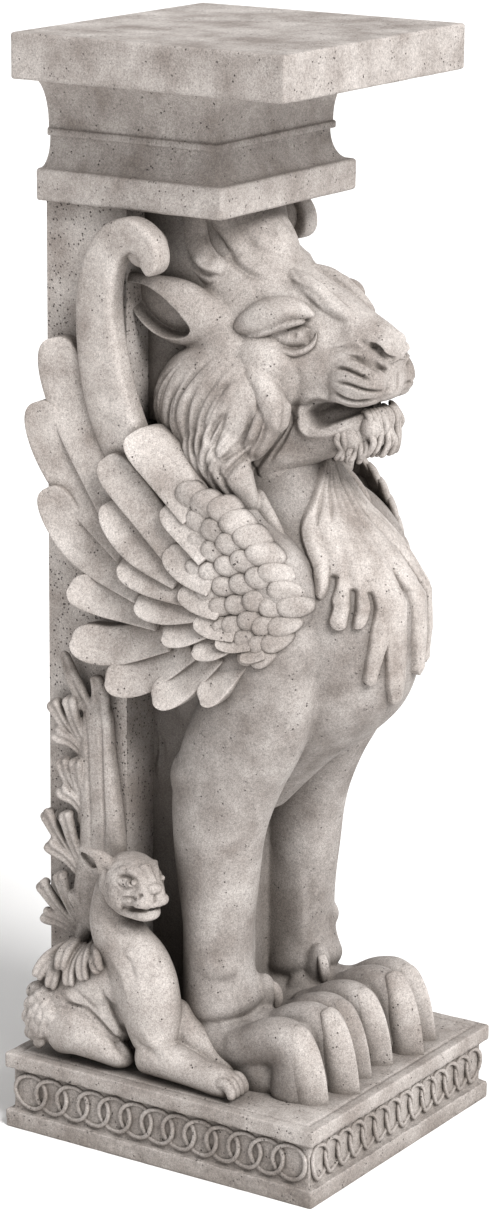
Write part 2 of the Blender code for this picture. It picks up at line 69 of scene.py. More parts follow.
def squared(v, power):
    # Cosine and sine of v with their sizes raised to the power: 1 is round, less is squarer
    c, s = np.cos(v), np.sin(v)
    return np.sign(c) * np.abs(c) ** power, np.sign(s) * np.abs(s) ** power


def cells(*corners):
    # Four corner numbers for each cell of a grid, one row a cell
    return np.stack(corners, -1).reshape(-1, 4)


def ringsForm(rings):
    # Closed skin over rings of equal count; the first and last ring shrink to one point each
    steps, sides = rings.shape[:2]
    points = np.vstack([rings[0].mean(0)[None], rings[1:-1].reshape(-1, 3), rings[-1].mean(0)[None]])
    i, j = np.meshgrid(np.arange(steps - 3), np.arange(sides), indexing="ij")
    k = (j + 1) % sides
    quads = cells(i * sides + j, i * sides + k, (i + 1) * sides + k, (i + 1) * sides + j) + 1
    side = np.arange(sides)
    nextSide = (side + 1) % sides
    last = 1 + (steps - 3) * sides
    caps = np.vstack([
        np.stack([np.zeros(sides, int), nextSide + 1, side + 1], -1),
        np.stack([np.full(sides, len(points) - 1), last + side, last + nextSide], -1),
    ])
    return outward((points, quads, caps))


def outward(form):
    # Turns every face round when the closed form's signed volume is below nothing
    points, quads, caps = form
    corners = np.vstack([quads[:, [0, 1, 2]], quads[:, [0, 2, 3]], caps])
    a, b, c = points[corners[:, 0]], points[corners[:, 1]], points[corners[:, 2]]
    if np.einsum("ij,ij->i", a, np.cross(b, c)).sum() < 0:
        quads, caps = quads[:, ::-1], caps[:, ::-1]
    return points, quads, caps


def join(forms):
    # One form from many, with the corner numbers moved along
    points, quads, caps, start = [], [], [], 0
    for p, q, c in forms:
        points.append(p)
        quads.append(q + start)
        caps.append(c + start)
        start += len(p)
    return np.vstack(points), np.vstack(quads), np.vstack(caps)


def mirrored(form):
    points, quads, caps = form
    return points * (-1, 1, 1), quads[:, ::-1], caps[:, ::-1]


def bothSides(forms):
    return list(forms) + [mirrored(f) for f in forms]


def tube(path, wide, deep=None, facing=(1, 0, 0), steps=36, sides=20, corner=2.0, ends=0.14, edge=None):
    # centre(s) + wide(s)·a(v)·across + deep(s)·b(v)·other, where (a, b) runs round a superellipse of
    # power corner and both widths fall to nothing as a quarter circle over the share called ends
    s = 0.5 - 0.5 * np.cos(np.pi * np.linspace(0, 1, steps))
    centre = curveAt(path, s)
    ahead = unit(np.gradient(centre, s, axis=0))
    wide = curveAt(wide, s)
    deep = wide if deep is None else curveAt(deep, s)
    close = np.sqrt(1 - (1 - np.clip(np.minimum(s, 1 - s) / ends, 0, 1)) ** 2)[:, None]
    facing = np.asarray(facing, float)
    facing = curveAt(facing, s) if facing.ndim == 2 else np.broadcast_to(facing, ahead.shape)
    across = unit(facing - ahead * (ahead * facing).sum(-1, keepdims=True))
    other = np.cross(ahead, across)
    v = 2 * np.pi * np.arange(sides) / sides
    a, b = edge(v) if edge else squared(v, 2 / corner)
    rings = (centre[:, None] + across[:, None] * (wide * close * a)[..., None]
             + other[:, None] * (deep * close * b)[..., None])
    return ringsForm(rings)


def ball(centre, radii, tilt=0.0, lean=0.0, rows=22, sides=30):
    # Ellipsoid: two angles, then turned by tilt about x and by lean about z, in degrees
    u = np.linspace(0, np.pi, rows)
    v = 2 * np.pi * np.arange(sides) / sides
    rings = np.stack([
        np.sin(u)[:, None] * np.cos(v), np.sin(u)[:, None] * np.sin(v), np.cos(u)[:, None] * np.ones(sides)
    ], -1) * np.asarray(radii, float)
    turn = np.array(Matrix.Rotation(math.radians(lean), 3, "Z") @ Matrix.Rotation(math.radians(tilt), 3,
            "X"))
    return ringsForm(rings @ turn.T + np.asarray(centre, float))


def ovalLoft(rows, back, steps=60, sides=72, corner=2.3):
    # Level ovals stacked through smooth heights, fronts and half widths, closed at both ends
    rows = np.asarray(rows, float)
    s = np.linspace(0, 1, steps)
    height, front, half = curveAt(rows, s).T
    v = 2 * np.pi * np.arange(sides) / sides
    middle, reach = (back + front) / 2, (back - front) / 2
    a, b = squared(v, 2 / corner)
    rings = np.stack([half[:, None] * a, middle[:, None] + reach[:, None] * b,
                      height[:, None] * np.ones(sides)], -1)
    return ringsForm(rings)


def block(low, high, cell=4.0):
    # Box made of small square cells
    low, high = np.asarray(low, float), np.asarray(high, float)
    count = np.maximum(((high - low) / cell).astype(int), 1)
    forms = []
    for axis in range(3):
        u, v = [k for k in range(3) if k != axis]
        marks = [np.linspace(low[k], high[k], count[k] + 1) for k in (u, v)]
        gu, gv = np.meshgrid(*marks, indexing="ij")
        i, j = np.meshgrid(np.arange(count[u]), np.arange(count[v]), indexing="ij")
        cols = count[v] + 1
        quads = cells(i * cols + j, (i + 1) * cols + j, (i + 1) * cols + j + 1, i * cols + j + 1)
        for end, flip in ((low, axis != 1), (high, axis == 1)):
            points = np.zeros((gu.size, 3))
            points[:, axis], points[:, u], points[:, v] = end[axis], gu.ravel(), gv.ravel()
            forms.append((points, quads[:, ::-1] if flip else quads, np.zeros((0, 3), int)))
    return join(forms)


def makePiece(name, form, material, smooth=True):
    # Puts a form, in millimetres, into a mesh that rides on the cast
    points, quads, caps = form
    mesh = bpy.data.meshes.new(name)
    mesh.from_pydata((points * mm).tolist(), [], quads.tolist() + caps.tolist())
    mesh.polygons.foreach_set("use_smooth", np.full(len(mesh.polygons), smooth))
    mesh.materials.append(material)
    piece = bpy.data.objects.new(name, mesh)
    bpy.context.scene.collection.objects.link(piece)
    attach(piece, "root")
    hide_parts(castNode)
    return piece


def evaluated(piece):
    # Replaces a piece's mesh by what its modifiers make of it
    made = bpy.data.meshes.new_from_object(piece.evaluated_get(bpy.context.evaluated_depsgraph_get()))
    piece.modifiers.clear()
    old = piece.data
    piece.data = made
    bpy.data.meshes.remove(old)


def fuse(piece, cell, soften):
    # Melts the overlapping closed forms of a piece into one skin of even cells, then relaxes it
    melt = piece.modifiers.new("melt", "REMESH")
    melt.mode = "VOXEL"
    melt.voxel_size = cell * mm
    melt.use_smooth_shade = True
    relax = piece.modifiers.new("relax", "SMOOTH")
    relax.factor = 0.5
    relax.iterations = soften
    evaluated(piece)


def readPoints(piece):
    count = len(piece.data.vertices)
    co, nrm = np.zeros(count * 3, np.float32), np.zeros(count * 3, np.float32)
    piece.data.vertices.foreach_get("co", co)
    piece.data.vertex_normals.foreach_get("vector", nrm)
    return co.reshape(-1, 3).astype(float) / mm, nrm.reshape(-1, 3).astype(float)


def writePoints(piece, co):
    piece.data.vertices.foreach_set("co", (co * mm).astype(np.float32).ravel())
    piece.data.update()


def hillNoise(co, size, seed):
    # Smooth random hills: lattice values between -1 and 1, blended with a cubic ease, size in mm
    rng = np.random.default_rng(seed)
    table = rng.uniform(-1, 1, (32, 32, 32))
    at = co / size + 100.0
    low = np.floor(at).astype(int)
    t = at - low
    t = t * t * (3 - 2 * t)
    total = np.zeros(len(co))
    for dx in (0, 1):
        for dy in (0, 1):
            for dz in (0, 1):
                share = (np.abs(1 - dx - t[:, 0]) * np.abs(1 - dy - t[:, 1]) * np.abs(1 - dz - t[:, 2]))
                total += share * table[(low[:, 0] + dx) % 32, (low[:, 1] + dy) % 32, (low[:, 2] + dz) % 32]
    return total


def strokeFall(flat, line, width, ends=0.25):
    # For flat points: exp(-(d/width)²), d the distance to the line, thinned towards its two ends
    line = np.asarray(line, float)
    if len(line) > 2:
        line = curveAt(line, np.linspace(0, 1, 4 * len(line)))
    low, high = line.min(0) - 3 * width, line.max(0) + 3 * width
    near = np.where(((flat > low) & (flat < high)).all(1))[0]
    best, along = np.full(len(near), 1e9), np.zeros(len(near))
    p = flat[near]
    lengths = np.linalg.norm(np.diff(line, axis=0), axis=1)
    start = np.concatenate([[0], np.cumsum(lengths)]) / lengths.sum()
    for k in range(len(line) - 1):
        a, b = line[k], line[k + 1]
        t = np.clip(((p - a) @ (b - a)) / max((b - a) @ (b - a), 1e-9), 0, 1)
        d = np.linalg.norm(p - a - t[:, None] * (b - a), axis=1)
        closer = d < best
        best[closer] = d[closer]
        along[closer] = (start[k] + t * (start[k + 1] - start[k]))[closer]
    fade = np.clip(np.minimum(along, 1 - along) / ends, 0.12, 1) if ends else np.ones(len(near))
    fall = np.zeros(len(flat))
    fall[near] = np.exp(-((best / width) ** 2)) * fade
    return fall


def ease(t):
    t = np.clip(t, 0, 1)
    return t * t * (3 - 2 * t)


def insideFall(flat, outline, edge):
    # 1 well inside a closed outline, easing to 0 at it over the width called edge
    outline = curveAt(np.asarray(list(outline) + [outline[0]], float), np.linspace(0, 1, 6 * len(outline)))
    low, high = outline.min(0), outline.max(0)
    near = np.where(((flat > low) & (flat < high)).all(1))[0]
    p, inside, away = flat[near], np.zeros(len(near), bool), np.full(len(near), 1e9)
    for a, b in zip(outline[:-1], outline[1:]):
        crosses = (a[1] > p[:, 1]) != (b[1] > p[:, 1])
        at = a[0] + (p[:, 1] - a[1]) * (b[0] - a[0]) / (b[1] - a[1] if abs(b[1] - a[1]) > 1e-9 else 1e-9)
        inside ^= crosses & (p[:, 0] < at)
        t = np.clip(((p - a) @ (b - a)) / max((b - a) @ (b - a), 1e-9), 0, 1)
        away = np.minimum(away, np.linalg.norm(p - a - t[:, None] * (b - a), axis=1))
    fall = np.zeros(len(flat))
    fall[near] = np.where(inside, ease(away / edge), 0)
    return fall


def carve(piece, side=(), front=(), hollows=(), presses=()):
    # Tooling on a fused skin, the same on both flanks. side: (line in y z, width, depth) cut along
    # the normal where the skin looks sideways; front: the same in x z where it looks forwards;
    # hollows: (outline in y z, depth, edge, least x); presses: (centre, radii, push)
    co, normal = readPoints(piece)
    sideways, forwards = ease((np.abs(normal[:, 0]) - 0.05) / 0.3), ease((-normal[:, 1] - 0.05) / 0.3)
    flatSide, flatFront = co[:, 1:], np.abs(co[:, [0, 2]])
    cut = np.zeros(len(co))
    for line, width, depth in side:
        cut += strokeFall(flatSide, line, width) * depth * sideways
    for line, width, depth in front:
        cut += strokeFall(flatFront, line, width) * depth * forwards
    moved = co - normal * cut[:, None]
    for outline, depth, edge, least in hollows:
        fall = insideFall(flatSide, outline, edge) * (np.abs(co[:, 0]) > least)
        moved[:, 0] -= np.sign(co[:, 0]) * fall * depth
    for centre, radii, push in presses:
        for flip in (1, -1):
            fall = np.clip(1 - (((co * (flip, 1, 1) - centre) / radii) ** 2).sum(1), 0, 1) ** 1.5
            moved += fall[:, None] * np.asarray(push, float) * (flip, 1, 1)
    writePoints(piece, moved)


# Cast stone: pale limestone aggregate in resin, poured in a mould, rubbed with a grey-brown wash
# that stays in the hollows. The wash colour is also laid as painted shade wherever ambient occlusion
# finds cover, and each finish has a painted light level that makes it lighter or darker as a whole.
# It gives the eye a chalky matte skin, sandy grain and small dark pits.

def linear(hexColour):
    parts = [int(hexColour[i:i + 2], 16) / 255 for i in (1, 3, 5)]
    return tuple(p / 12.92 if p <= 0.04045 else ((p + 0.055) / 1.055) ** 2.4 for p in parts) + (1.0,)


# The wash colour is laid both as the real wash in the hollows and as painted shade; the two reaches set how
# far the painted shade looks for cover, wide for broad shade under overhangs, fine for creases
stoneLook = dict(
    pale="#BDB6B1", body="#8A817B", washAndShade="#625A53", pitDark="#37302B",
    grain=0.9, sand=2.1, patch=38.0, pitSpacing=3.2, pitField=9.0, pitDepth=0.8,
    wideShadeReach=110.0, fineShadeReach=7.0, roughness=0.86,
)


def addNode(tree, kind, settings=None, links=None):
    # Adds one node, sets its properties or sockets by name, and links its inputs
    node = tree.nodes.new(kind)
    for name, value in (settings or {}).items():
        if hasattr(node, name):
            setattr(node, name, value)
        else:
            node.inputs[name].default_value = value
    for name, source in (links or {}).items():
        tree.links.new(source, node.inputs[name])
    return node


def castStone(name, pits, grainDepth, washAndShadeShare, paintedLightLevel=1.0):
    # pits: how much of the skin is pitted; grainDepth in mm; then how strong the wash and the painted shade
    # are in the hollows and under overhangs; last, a painted light level that makes the whole skin lighter
    # or darker to stand in for how light falls on that part
    look = stoneLook
    stone = bpy.data.materials.new(name)
    stone.use_nodes = True
    tree = stone.node_tree
    shader = tree.nodes["Principled BSDF"]
    place = addNode(tree, "ShaderNodeTexCoord").outputs["Object"]

    def noise(size, detail, **more):
        settings = {"Scale": 1 / (size * mm), "Detail": detail, **more}
        return addNode(tree, "ShaderNodeTexNoise", settings, {"Vector": place}).outputs["Fac"]

    def ramp(value, low, high, start=0.0, end=1.0):
        settings = {"From Min": low, "From Max": high, "To Min": start, "To Max": end}
        return addNode(tree, "ShaderNodeMapRange", settings, {"Value": value}).outputs["Result"]

    def reckon(how, first, second):
        return addNode(tree, "ShaderNodeMath", {"operation": how}, {0: first, 1: second}).outputs[0]

    # Painted shade: ambient occlusion within a reach, which lays the wash colour where shade falls
    def occlusionShade(reach):
        settings = {"samples": 6, "Distance": reach * mm}
        return addNode(tree, "ShaderNodeAmbientOcclusion", settings).outputs["AO"]

    def blend(share, under, over):
        # under is a hex colour or a socket, over a hex colour laid on it
        mix = addNode(tree, "ShaderNodeMix", {"data_type": "RGBA"}, {0: share})
        if isinstance(under, str):
            mix.inputs[6].default_value = linear(under)
        else:
            tree.links.new(under, mix.inputs[6])
        mix.inputs[7].default_value = linear(over)
        return mix.outputs[2]

    patch = noise(look["patch"], 5.0, Roughness=0.6)
    grain = noise(look["grain"], 3.0, Roughness=0.7)
    sand = noise(look["sand"], 4.0, Roughness=0.85)
    base = blend(ramp(patch, 0.32, 0.68), look["body"], look["pale"])
    # The wash colour goes where the two occlusions find cover: real wash in the hollows, and painted shade
    # under overhangs and between parts
    washAndShadeMask = reckon("MULTIPLY", occlusionShade(look["wideShadeReach"]), occlusionShade(look["fineShadeReach"]))
    washedAndShaded = blend(ramp(washAndShadeMask, 0.10, 0.96, washAndShadeShare, 0.0), base, look["washAndShade"])
    pit = addNode(tree, "ShaderNodeTexVoronoi", {"Scale": 1 / (look["pitSpacing"] * mm), "Randomness": 1.0},
                  {"Vector": place}).outputs["Distance"]
    where = ramp(noise(look["pitField"], 2.0), 0.62 - 0.3 * pits, 0.74 - 0.3 * pits)
    pitted = reckon("MULTIPLY", ramp(pit, 0.12, 0.28, 1.0, 0.0), where)
    coloured = blend(pitted, washedAndShaded, look["pitDark"])
    # Grain and sand speckle the colour; the painted light level scales it all to make the finish lighter or
    # darker
    speckle = ramp(reckon("ADD", grain, sand), 0.78, 1.22, 0.60 * paintedLightLevel, 1.28 * paintedLightLevel)
    final = addNode(tree, "ShaderNodeVectorMath", {"operation": "SCALE"}, {0: coloured, "Scale": speckle})
    tree.links.new(final.outputs[0], shader.inputs["Base Color"])
    grainBump = addNode(tree, "ShaderNodeBump", {"Strength": 1.0, "Distance": grainDepth * mm},
                        {"Height": grain})
    pitBump = addNode(tree, "ShaderNodeBump", {"Strength": 1.0, "Distance": look["pitDepth"] * mm,
                                               "invert": True},
                      {"Height": pitted, "Normal": grainBump.outputs["Normal"]})
    tree.links.new(pitBump.outputs["Normal"], shader.inputs["Normal"])
    shader.inputs["Roughness"].default_value = look["roughness"]
    shader.inputs["IOR"].default_value = 1.5
    return stone


# Painted light: the lion's body has a painted shaded copy of the stone, the leaf, feathers and scrolls a
# painted lit copy, and the pier a painted lit copy of the stippled stone
smoothStone = castStone("cast stone, rubbed smooth", 0.16, 0.3, 0.95)
paintedLitStone = castStone("cast stone, painted light", 0.16, 0.3, 0.9, 1.12)
paintedShadeStone = castStone("cast stone, wash left on", 0.16, 0.3, 0.95, 0.78)
pittedStone = castStone("cast stone, stippled ground", 0.95, 0.4, 0.6, 1.15)
grainyStone = castStone("cast stone, sandy moulding", 0.3, 0.35, 0.8)
print("stone finishes made")


# Architecture

moulding = dict(
    plinthHalf=(133.5, 143.0), footHeight=14.5, friezeHeight=34.6, stepHeight=13.0, friezeSetback=5.0,
    pierHalf=80.0, pierFront=63.0, pierBack=136.0,
    bandHalf=93.5, bandFront=-30.0, bandBottom=731.6, bandHeight=24.2,
    scotiaHeight=23.0, scotiaDepth=14.5, filletHeight=6.5, filletInset=11.5, cavettoBase=13.0,
                cavettoTop=-9.5,
    slabHalf=126.0, slabFront=-104.0, slabBack=134.5, slabThickness=34.5, totalHeight=860.0,
    edge=1.6, bandEdge=2.6, slabEdge=2.0, backShare=0.15, waver=0.35,
    groove=((9.0, 0.0), (9.8, 0.7), (10.6, 0.7), (11.4, 0.0)),  # round the plinth's top: inset, drop
)


def squareMoulding(profile, half, front, back, backShare=1.0, corner=1.5, cell=2.2):
    # A profile of (height, inset) carried round a rectangle with small round corners, its points
    # crowded towards them; the inset at the back is only a share of the rest. Closed by two fans.
    counts = [max(int(size / cell), 4) for size in (2 * half, back - front)]
    runs = []
    for count in counts:
        t = np.linspace(0, 1, count, endpoint=False)
        crowded = 0.5 - 0.5 * np.cos(np.pi * t)
        runs.append(2 * (0.35 * crowded + 0.65 * t) - 1)
    wide, deep = runs
    px = np.concatenate([wide, np.ones(counts[1]), -wide, -np.ones(counts[1])])
    py = np.concatenate([-np.ones(counts[0]), deep, np.ones(counts[0]), -deep])
    cutShare = 0.29  # of the corner's radius, taken off both ways at the corner itself
    rings = []
    for height, inset in filled(profile, cell):
        w = half - inset
        f, b = front + inset, back - inset * backShare
        x, y = px * w, (f + b) / 2 + py * (b - f) / 2
        nearSide = np.clip(1 - (w - np.abs(x)) / corner, 0, 1)
        nearEnd = np.clip(1 - np.minimum(y - f, b - y) / corner, 0, 1)
        cut = corner * nearSide * nearEnd * cutShare
        x, y = x - np.sign(x) * cut, y + np.where(py < 0, 1, -1) * cut
        rings.append(np.stack([x, y, np.full(len(x), height)], -1))
    middle = (0, (front + back) / 2, 0)
    ends = [ring * (0, 0, 1) + middle for ring in (rings[0], rings[-1])]
    return ringsForm(np.array([ends[0]] + rings + [ends[1]]))


def roundedEdge(low, high, radius, steps=5):
    # An upright face of a profile with a quarter round at both ends, as (height, inset)
    turns = np.linspace(0, np.pi / 2, steps)
    bottom = [(low + radius * (1 - math.sin(a)), radius * (1 - math.cos(a))) for a in turns[::-1]]
    top = [(high - radius * (1 - math.sin(a)), radius * (1 - math.cos(a))) for a in turns]
    return bottom + top


def filled(profile, cell):
    # Adds points along long straight stretches of a profile
    out = [profile[0]]
    for a, b in zip(profile, profile[1:]):
        count = max(int(math.dist(a, b) / cell), 1)
        out += [(a[0] + (b[0] - a[0]) * k / count, a[1] + (b[1] - a[1]) * k / count) for k in range(1,
                count + 1)]
    return out


def waver(piece, height, size, seed, keepFlat=(), zone=None):
    # A casting's slight unevenness: hills along the normal, none on the flat levels named, and only
    # within the zone of heights where one is given
    co, nrm = readPoints(piece)
    push = height * (hillNoise(co, size, seed) + 0.4 * hillNoise(co, size / 3.1, seed + 1))
    for level in keepFlat:
        push *= 1 - np.exp(-(((co[:, 2] - level) / 0.8) ** 2))
    if zone:
        push *= ease((co[:, 2] - zone[0]) / 1.0) * ease((zone[1] - co[:, 2]) / 1.0)
    writePoints(piece, co - nrm * np.abs(push)[:, None])


def makeArchitecture():
    m = moulding
    plinthTop = m["footHeight"] + m["friezeHeight"] + m["stepHeight"]
    friezeTop = m["footHeight"] + m["friezeHeight"]
    foot = roundedEdge(0, m["footHeight"], m["edge"])
    step = roundedEdge(friezeTop, plinthTop, m["edge"])
    deep = m["friezeSetback"]
    border = [(plinthTop - drop, inset) for inset, drop in m["groove"]]
    profile = ([(0, 60.0)] + foot + [(m["footHeight"], deep), (friezeTop, deep)] + step
               + border + [(plinthTop, 60.0)])
    plinth = makePiece("plinth", squareMoulding(profile, m["plinthHalf"][0], -m["plinthHalf"][1],
                                                m["plinthHalf"][1]), grainyStone)
    waver(plinth, m["waver"] * 1.4, 17.0, 3, (0.0,))
    waver(plinth, 1.1, 4.5, 9, (0.0,), (0.0, friezeTop + 2))

    sunk = plinthTop - 4
    makePiece("pier", block((-m["pierHalf"], m["pierFront"], sunk),
                            (m["pierHalf"], m["pierBack"], m["bandBottom"] + 4), 4.0),
                     pittedStone, smooth=False)

    bandTop = m["bandBottom"] + m["bandHeight"]
    scotiaTop = bandTop + m["scotiaHeight"]
    filletTop = scotiaTop + m["filletHeight"]
    under = m["totalHeight"] - m["slabThickness"]
    turn = np.linspace(0, np.pi / 2, 14)
    band = roundedEdge(m["bandBottom"], bandTop, m["bandEdge"])
    scotia = [(bandTop + (scotiaTop - bandTop) * (1 - math.cos(a)),
               3.5 + (m["scotiaDepth"] - 3.5) * math.sin(a)) for a in turn]
    cavetto = [(filletTop + (under - filletTop) * math.sin(a),
                m["cavettoBase"] + (m["cavettoTop"] - m["cavettoBase"])
                * (1 - math.cos(a)) ** 1.1) for a in turn]
    fillet = [(scotiaTop + 0.6, m["filletInset"] + 0.4), (scotiaTop + 1.4, m["filletInset"]),
              (filletTop - 1.4, m["filletInset"]), (filletTop - 0.5, m["filletInset"] + 0.5)]
    profile = [(m["bandBottom"], 40.0)] + band + scotia + fillet + cavetto + [(under + 6, m["cavettoTop"]),
            (under + 6, 40.0)]
    capital = makePiece("capital", squareMoulding(profile, m["bandHalf"], m["bandFront"], m["pierBack"],
                                                  m["backShare"]), grainyStone)
    waver(capital, m["waver"], 24.0, 5)

    slab = roundedEdge(under, m["totalHeight"], m["slabEdge"])
    profile = [(under, 60.0)] + slab + [(m["totalHeight"], 60.0)]
    top = makePiece("top_slab", squareMoulding(profile, m["slabHalf"], m["slabFront"], m["slabBack"]),
                    grainyStone)
    waver(top, m["waver"], 30.0, 7, (m["totalHeight"],))
    print("plinth, pier, capital and top slab made")


frieze = dict(ringRadius=13.6, ringHalves=(10.4, 14.6, 14.6), ringWire=1.9, pitches=(17.2, 20.2, 20.2),
              lift=0.6, wave=1.1, wear=0.5, wireSquare=0.7)


def ringForm(centre, along, outwards, half, radius, wire, phase):
    # Ring of squarish wire; it rises and dips twice a turn, so that neighbours pass over and under
    u = 2 * np.pi * np.arange(48) / 48
    v = 2 * np.pi * np.arange(10) / 10
    up = np.array([0, 0, 1.0])
    lift = frieze["lift"] + frieze["wave"] * np.sin(2 * u + phase)
    level, height = np.cos(u)[:, None], np.sin(u)[:, None]
    spoke = level * along + height * up
    core = centre + level * along * half + height * up * radius + outwards * lift[:, None]
    flat, tall = squared(v, frieze["wireSquare"])
    wide, deep = (wire * flat)[None, :, None], (wire * 0.9 * tall)[None, :, None]
    rings = core[:, None] + spoke[:, None] * wide + outwards * deep
    i, j = np.meshgrid(np.arange(48), np.arange(10), indexing="ij")
    k, n = (i + 1) % 48, (j + 1) % 10
    quads = cells(i * 10 + j, k * 10 + j, k * 10 + n, i * 10 + n)
    return outward((rings.reshape(-1, 3), quads, np.zeros((0, 3), int)))


def makeFrieze():
    m, f = moulding, frieze
    middle = m["footHeight"] + m["friezeHeight"] / 2
    forms = []
    halfX, halfY = m["plinthHalf"]
    faces = (((1, 0, 0), (0, -1, 0), halfX, halfY), ((0, 1, 0), (-1, 0, 0), halfY, halfX),
             ((0, -1, 0), (1, 0, 0), halfY, halfX))
    for (along, outwards, halfRun, halfAcross), pitch, half in zip(faces, f["pitches"], f["ringHalves"]):
        along, outwards = np.array(along, float), np.array(outwards, float)
        room = 2 * (halfRun - m["friezeSetback"] - half - f["ringWire"] - 1)
        count = round(room / pitch) + 1
        for i in range(count):
            centre = along * (i / (count - 1) - 0.5) * room + outwards * (halfAcross
                    - m["friezeSetback"]) + (0, 0, middle)
            forms.append(ringForm(centre, along, outwards, half, f["ringRadius"], f["ringWire"], 0.6))
    rings = makePiece("frieze_rings", join(forms), grainyStone)
    waver(rings, f["wear"], 4.0, 21)
    print("linked rings made:", len(forms))


makeArchitecture()
makeFrieze()


# Wings

wing = dict(
    focus=(-120.0, 450.0),  # the point at the shoulder that the scales spread from, as (y, z)
    edgeAngles=((0, 60), (20, 58), (40, 42), (80, 45), (120, 43), (160, 38), (205, 38), (235, 75)),
    swell=((0, 73), (25, 77), (45, 86), (60, 93), (95, 101), (130, 101), (170, 99), (260, 97)),
    edgeRoll=11.0, edgeWidth=15.0,
    # rows from the leading edge inwards: size, then the middle of each scale as (y, z)
    scaleRows=(
        (1.25, ((-8, 526), (-22, 521))),
        (1.1, ((-35, 519), (-46, 510), (-16, 508), (-30, 503))),
        (1.08, ((-57, 500), (-66, 488), (-43, 494), (-54, 482), (-65, 470))),
        (1.0, ((-74, 474), (-80, 461), (-86, 449), (-29, 487), (-41, 477), (-52, 464), (-62, 452),
               (-74, 448))),
        (0.95, ((-15, 492), (-27, 471), (-38, 461), (-48, 448), (-58, 437), (-69, 434), (-80, 434))),
        (0.9, ((-14, 472), (-24, 455), (-35, 445), (-45, 432), (-55, 423), (-66, 420), (-76, 422))),
        (0.82, ((-26, 440), (-37, 430), (-47, 418), (-58, 410), (-68, 409))),
    ),
    flight=dict(
        tips=((113, 632), (129, 581), (121, 515), (99, 442), (98, 400), (66, 373), (22, 365), (-22, 372)),
        bends=((98, 572), (108, 528), (92, 472), (72, 434), (64, 398), (36, 380), (0, 380), (-34, 386)),
        roots=((58, 500), (46, 472), (34, 446), (20, 428), (12, 416), (-8, 412), (-30, 412), (-52, 412)),
        half=(20.0, 18.0, 16.5, 14.0, 15.0, 14.5, 13.5, 11.5), sink=8.5, thick=4.6, curl=14.0),
    covert=dict(
        tips=((44, 567), (68, 545), (66, 511), (53, 466), (38, 438), (13, 417), (-15, 411)),
        bends=((16, 542), (40, 518), (40, 482), (26, 457), (11, 436), (-7, 421), (-32, 413)),
        roots=((-16, 512), (2, 482), (-4, 464), (-14, 452), (-22, 442), (-34, 434), (-50, 424)),
        half=(14.0, 14.5, 13.5, 11.8, 10.6, 9.6, 8.4), sink=1.0, thick=4.4, curl=4.5),
    lesser=dict(
        tips=((12, 516), (8, 485), (-5, 457), (-18, 436), (-36, 423), (-55, 413)),
        bends=((-8, 500), (-8, 471), (-18, 449), (-31, 430), (-47, 420), (-63, 413)),
        roots=((-28, 482), (-32, 462), (-38, 444), (-50, 428), (-62, 422), (-72, 416)),
        half=(11.0, 11.5, 10.4, 9.0, 7.8, 6.8), sink=-1.0, thick=3.4, curl=2.0),
    tilt=4.0, deep=12.0,
)


def wingSurface(y, z):
    # Outer level of the wing, in x: a swelling that depends on the distance from the focus, rolled
    # inwards along the leading edge as a parabola of the distance inside it
    w = wing
    dy, dz = y - w["focus"][0], z - w["focus"][1]
    reach, angle = np.hypot(dy, dz), np.degrees(np.arctan2(dz, dy))
    swell = np.interp(reach, *zip(*w["swell"]))
    edge = np.interp(reach, *zip(*w["edgeAngles"]))
    inside = reach * np.sin(np.radians(np.clip(edge - angle, -60, 90)))
    return swell - w["edgeRoll"] * np.clip(1 - inside / w["edgeWidth"], 0, 1.6) ** 2


def blade(root, bend, tip, half, sink, thick, tilt, curl, rows=30, sides=28, blunt=2.5, square=0.3,
          dish=0.2):
    # s runs from root to tip on a smooth line in the side view, v round a squarish section. Half
    # width = half·(1 - ((s - 0.66)/0.34)^blunt)^(1/blunt) near the tip; the lower edge is raised by
    # tilt, the tip by curl, and the outer face is dished.
    s = 0.5 - 0.5 * np.cos(np.pi * np.linspace(0.05, 1, rows) ** 0.9)
    line = curveAt((root, bend, tip), s)
    ahead = unit(np.gradient(line, s, axis=0))
    across = np.stack([ahead[:, 1], -ahead[:, 0]], -1)
    taper = (1 - np.clip((s - 0.66) / 0.34, 0, 1) ** blunt) ** (1 / blunt)
    width = half * (0.86 + 0.14 * np.clip(s / 0.5, 0, 1) ** 0.8) * taper
    v = 2 * np.pi * np.arange(sides) / sides
    a, b = squared(v, square)
    y = line[:, :1] + across[:, :1] * width[:, None] * a
    z = line[:, 1:] + across[:, 1:] * width[:, None] * a
    rim = np.clip(width / half, 0, 1)[:, None] ** 0.5
    front = np.where(b > 0, thick * b * rim * (1 - dish * (1 - a**2)), wing["deep"] * b)
    x = wingSurface(y, z) - sink + front + tilt * a * rim + curl * (s[:, None] ** 2)
    rings = np.stack([x, y, z], -1)
    rings[0] = rings[0].mean(0)
    rings[-1] = rings[-1].mean(0)
    return ringsForm(rings)


def featherRow(row, tilt, drop):
    forms = []
    for i, (tip, bend, root, half) in enumerate(zip(row["tips"], row["bends"], row["roots"], row["half"])):
        forms.append(blade(root, bend, tip, half, row["sink"] + drop * i, row["thick"], tilt, row["curl"]))
    return forms


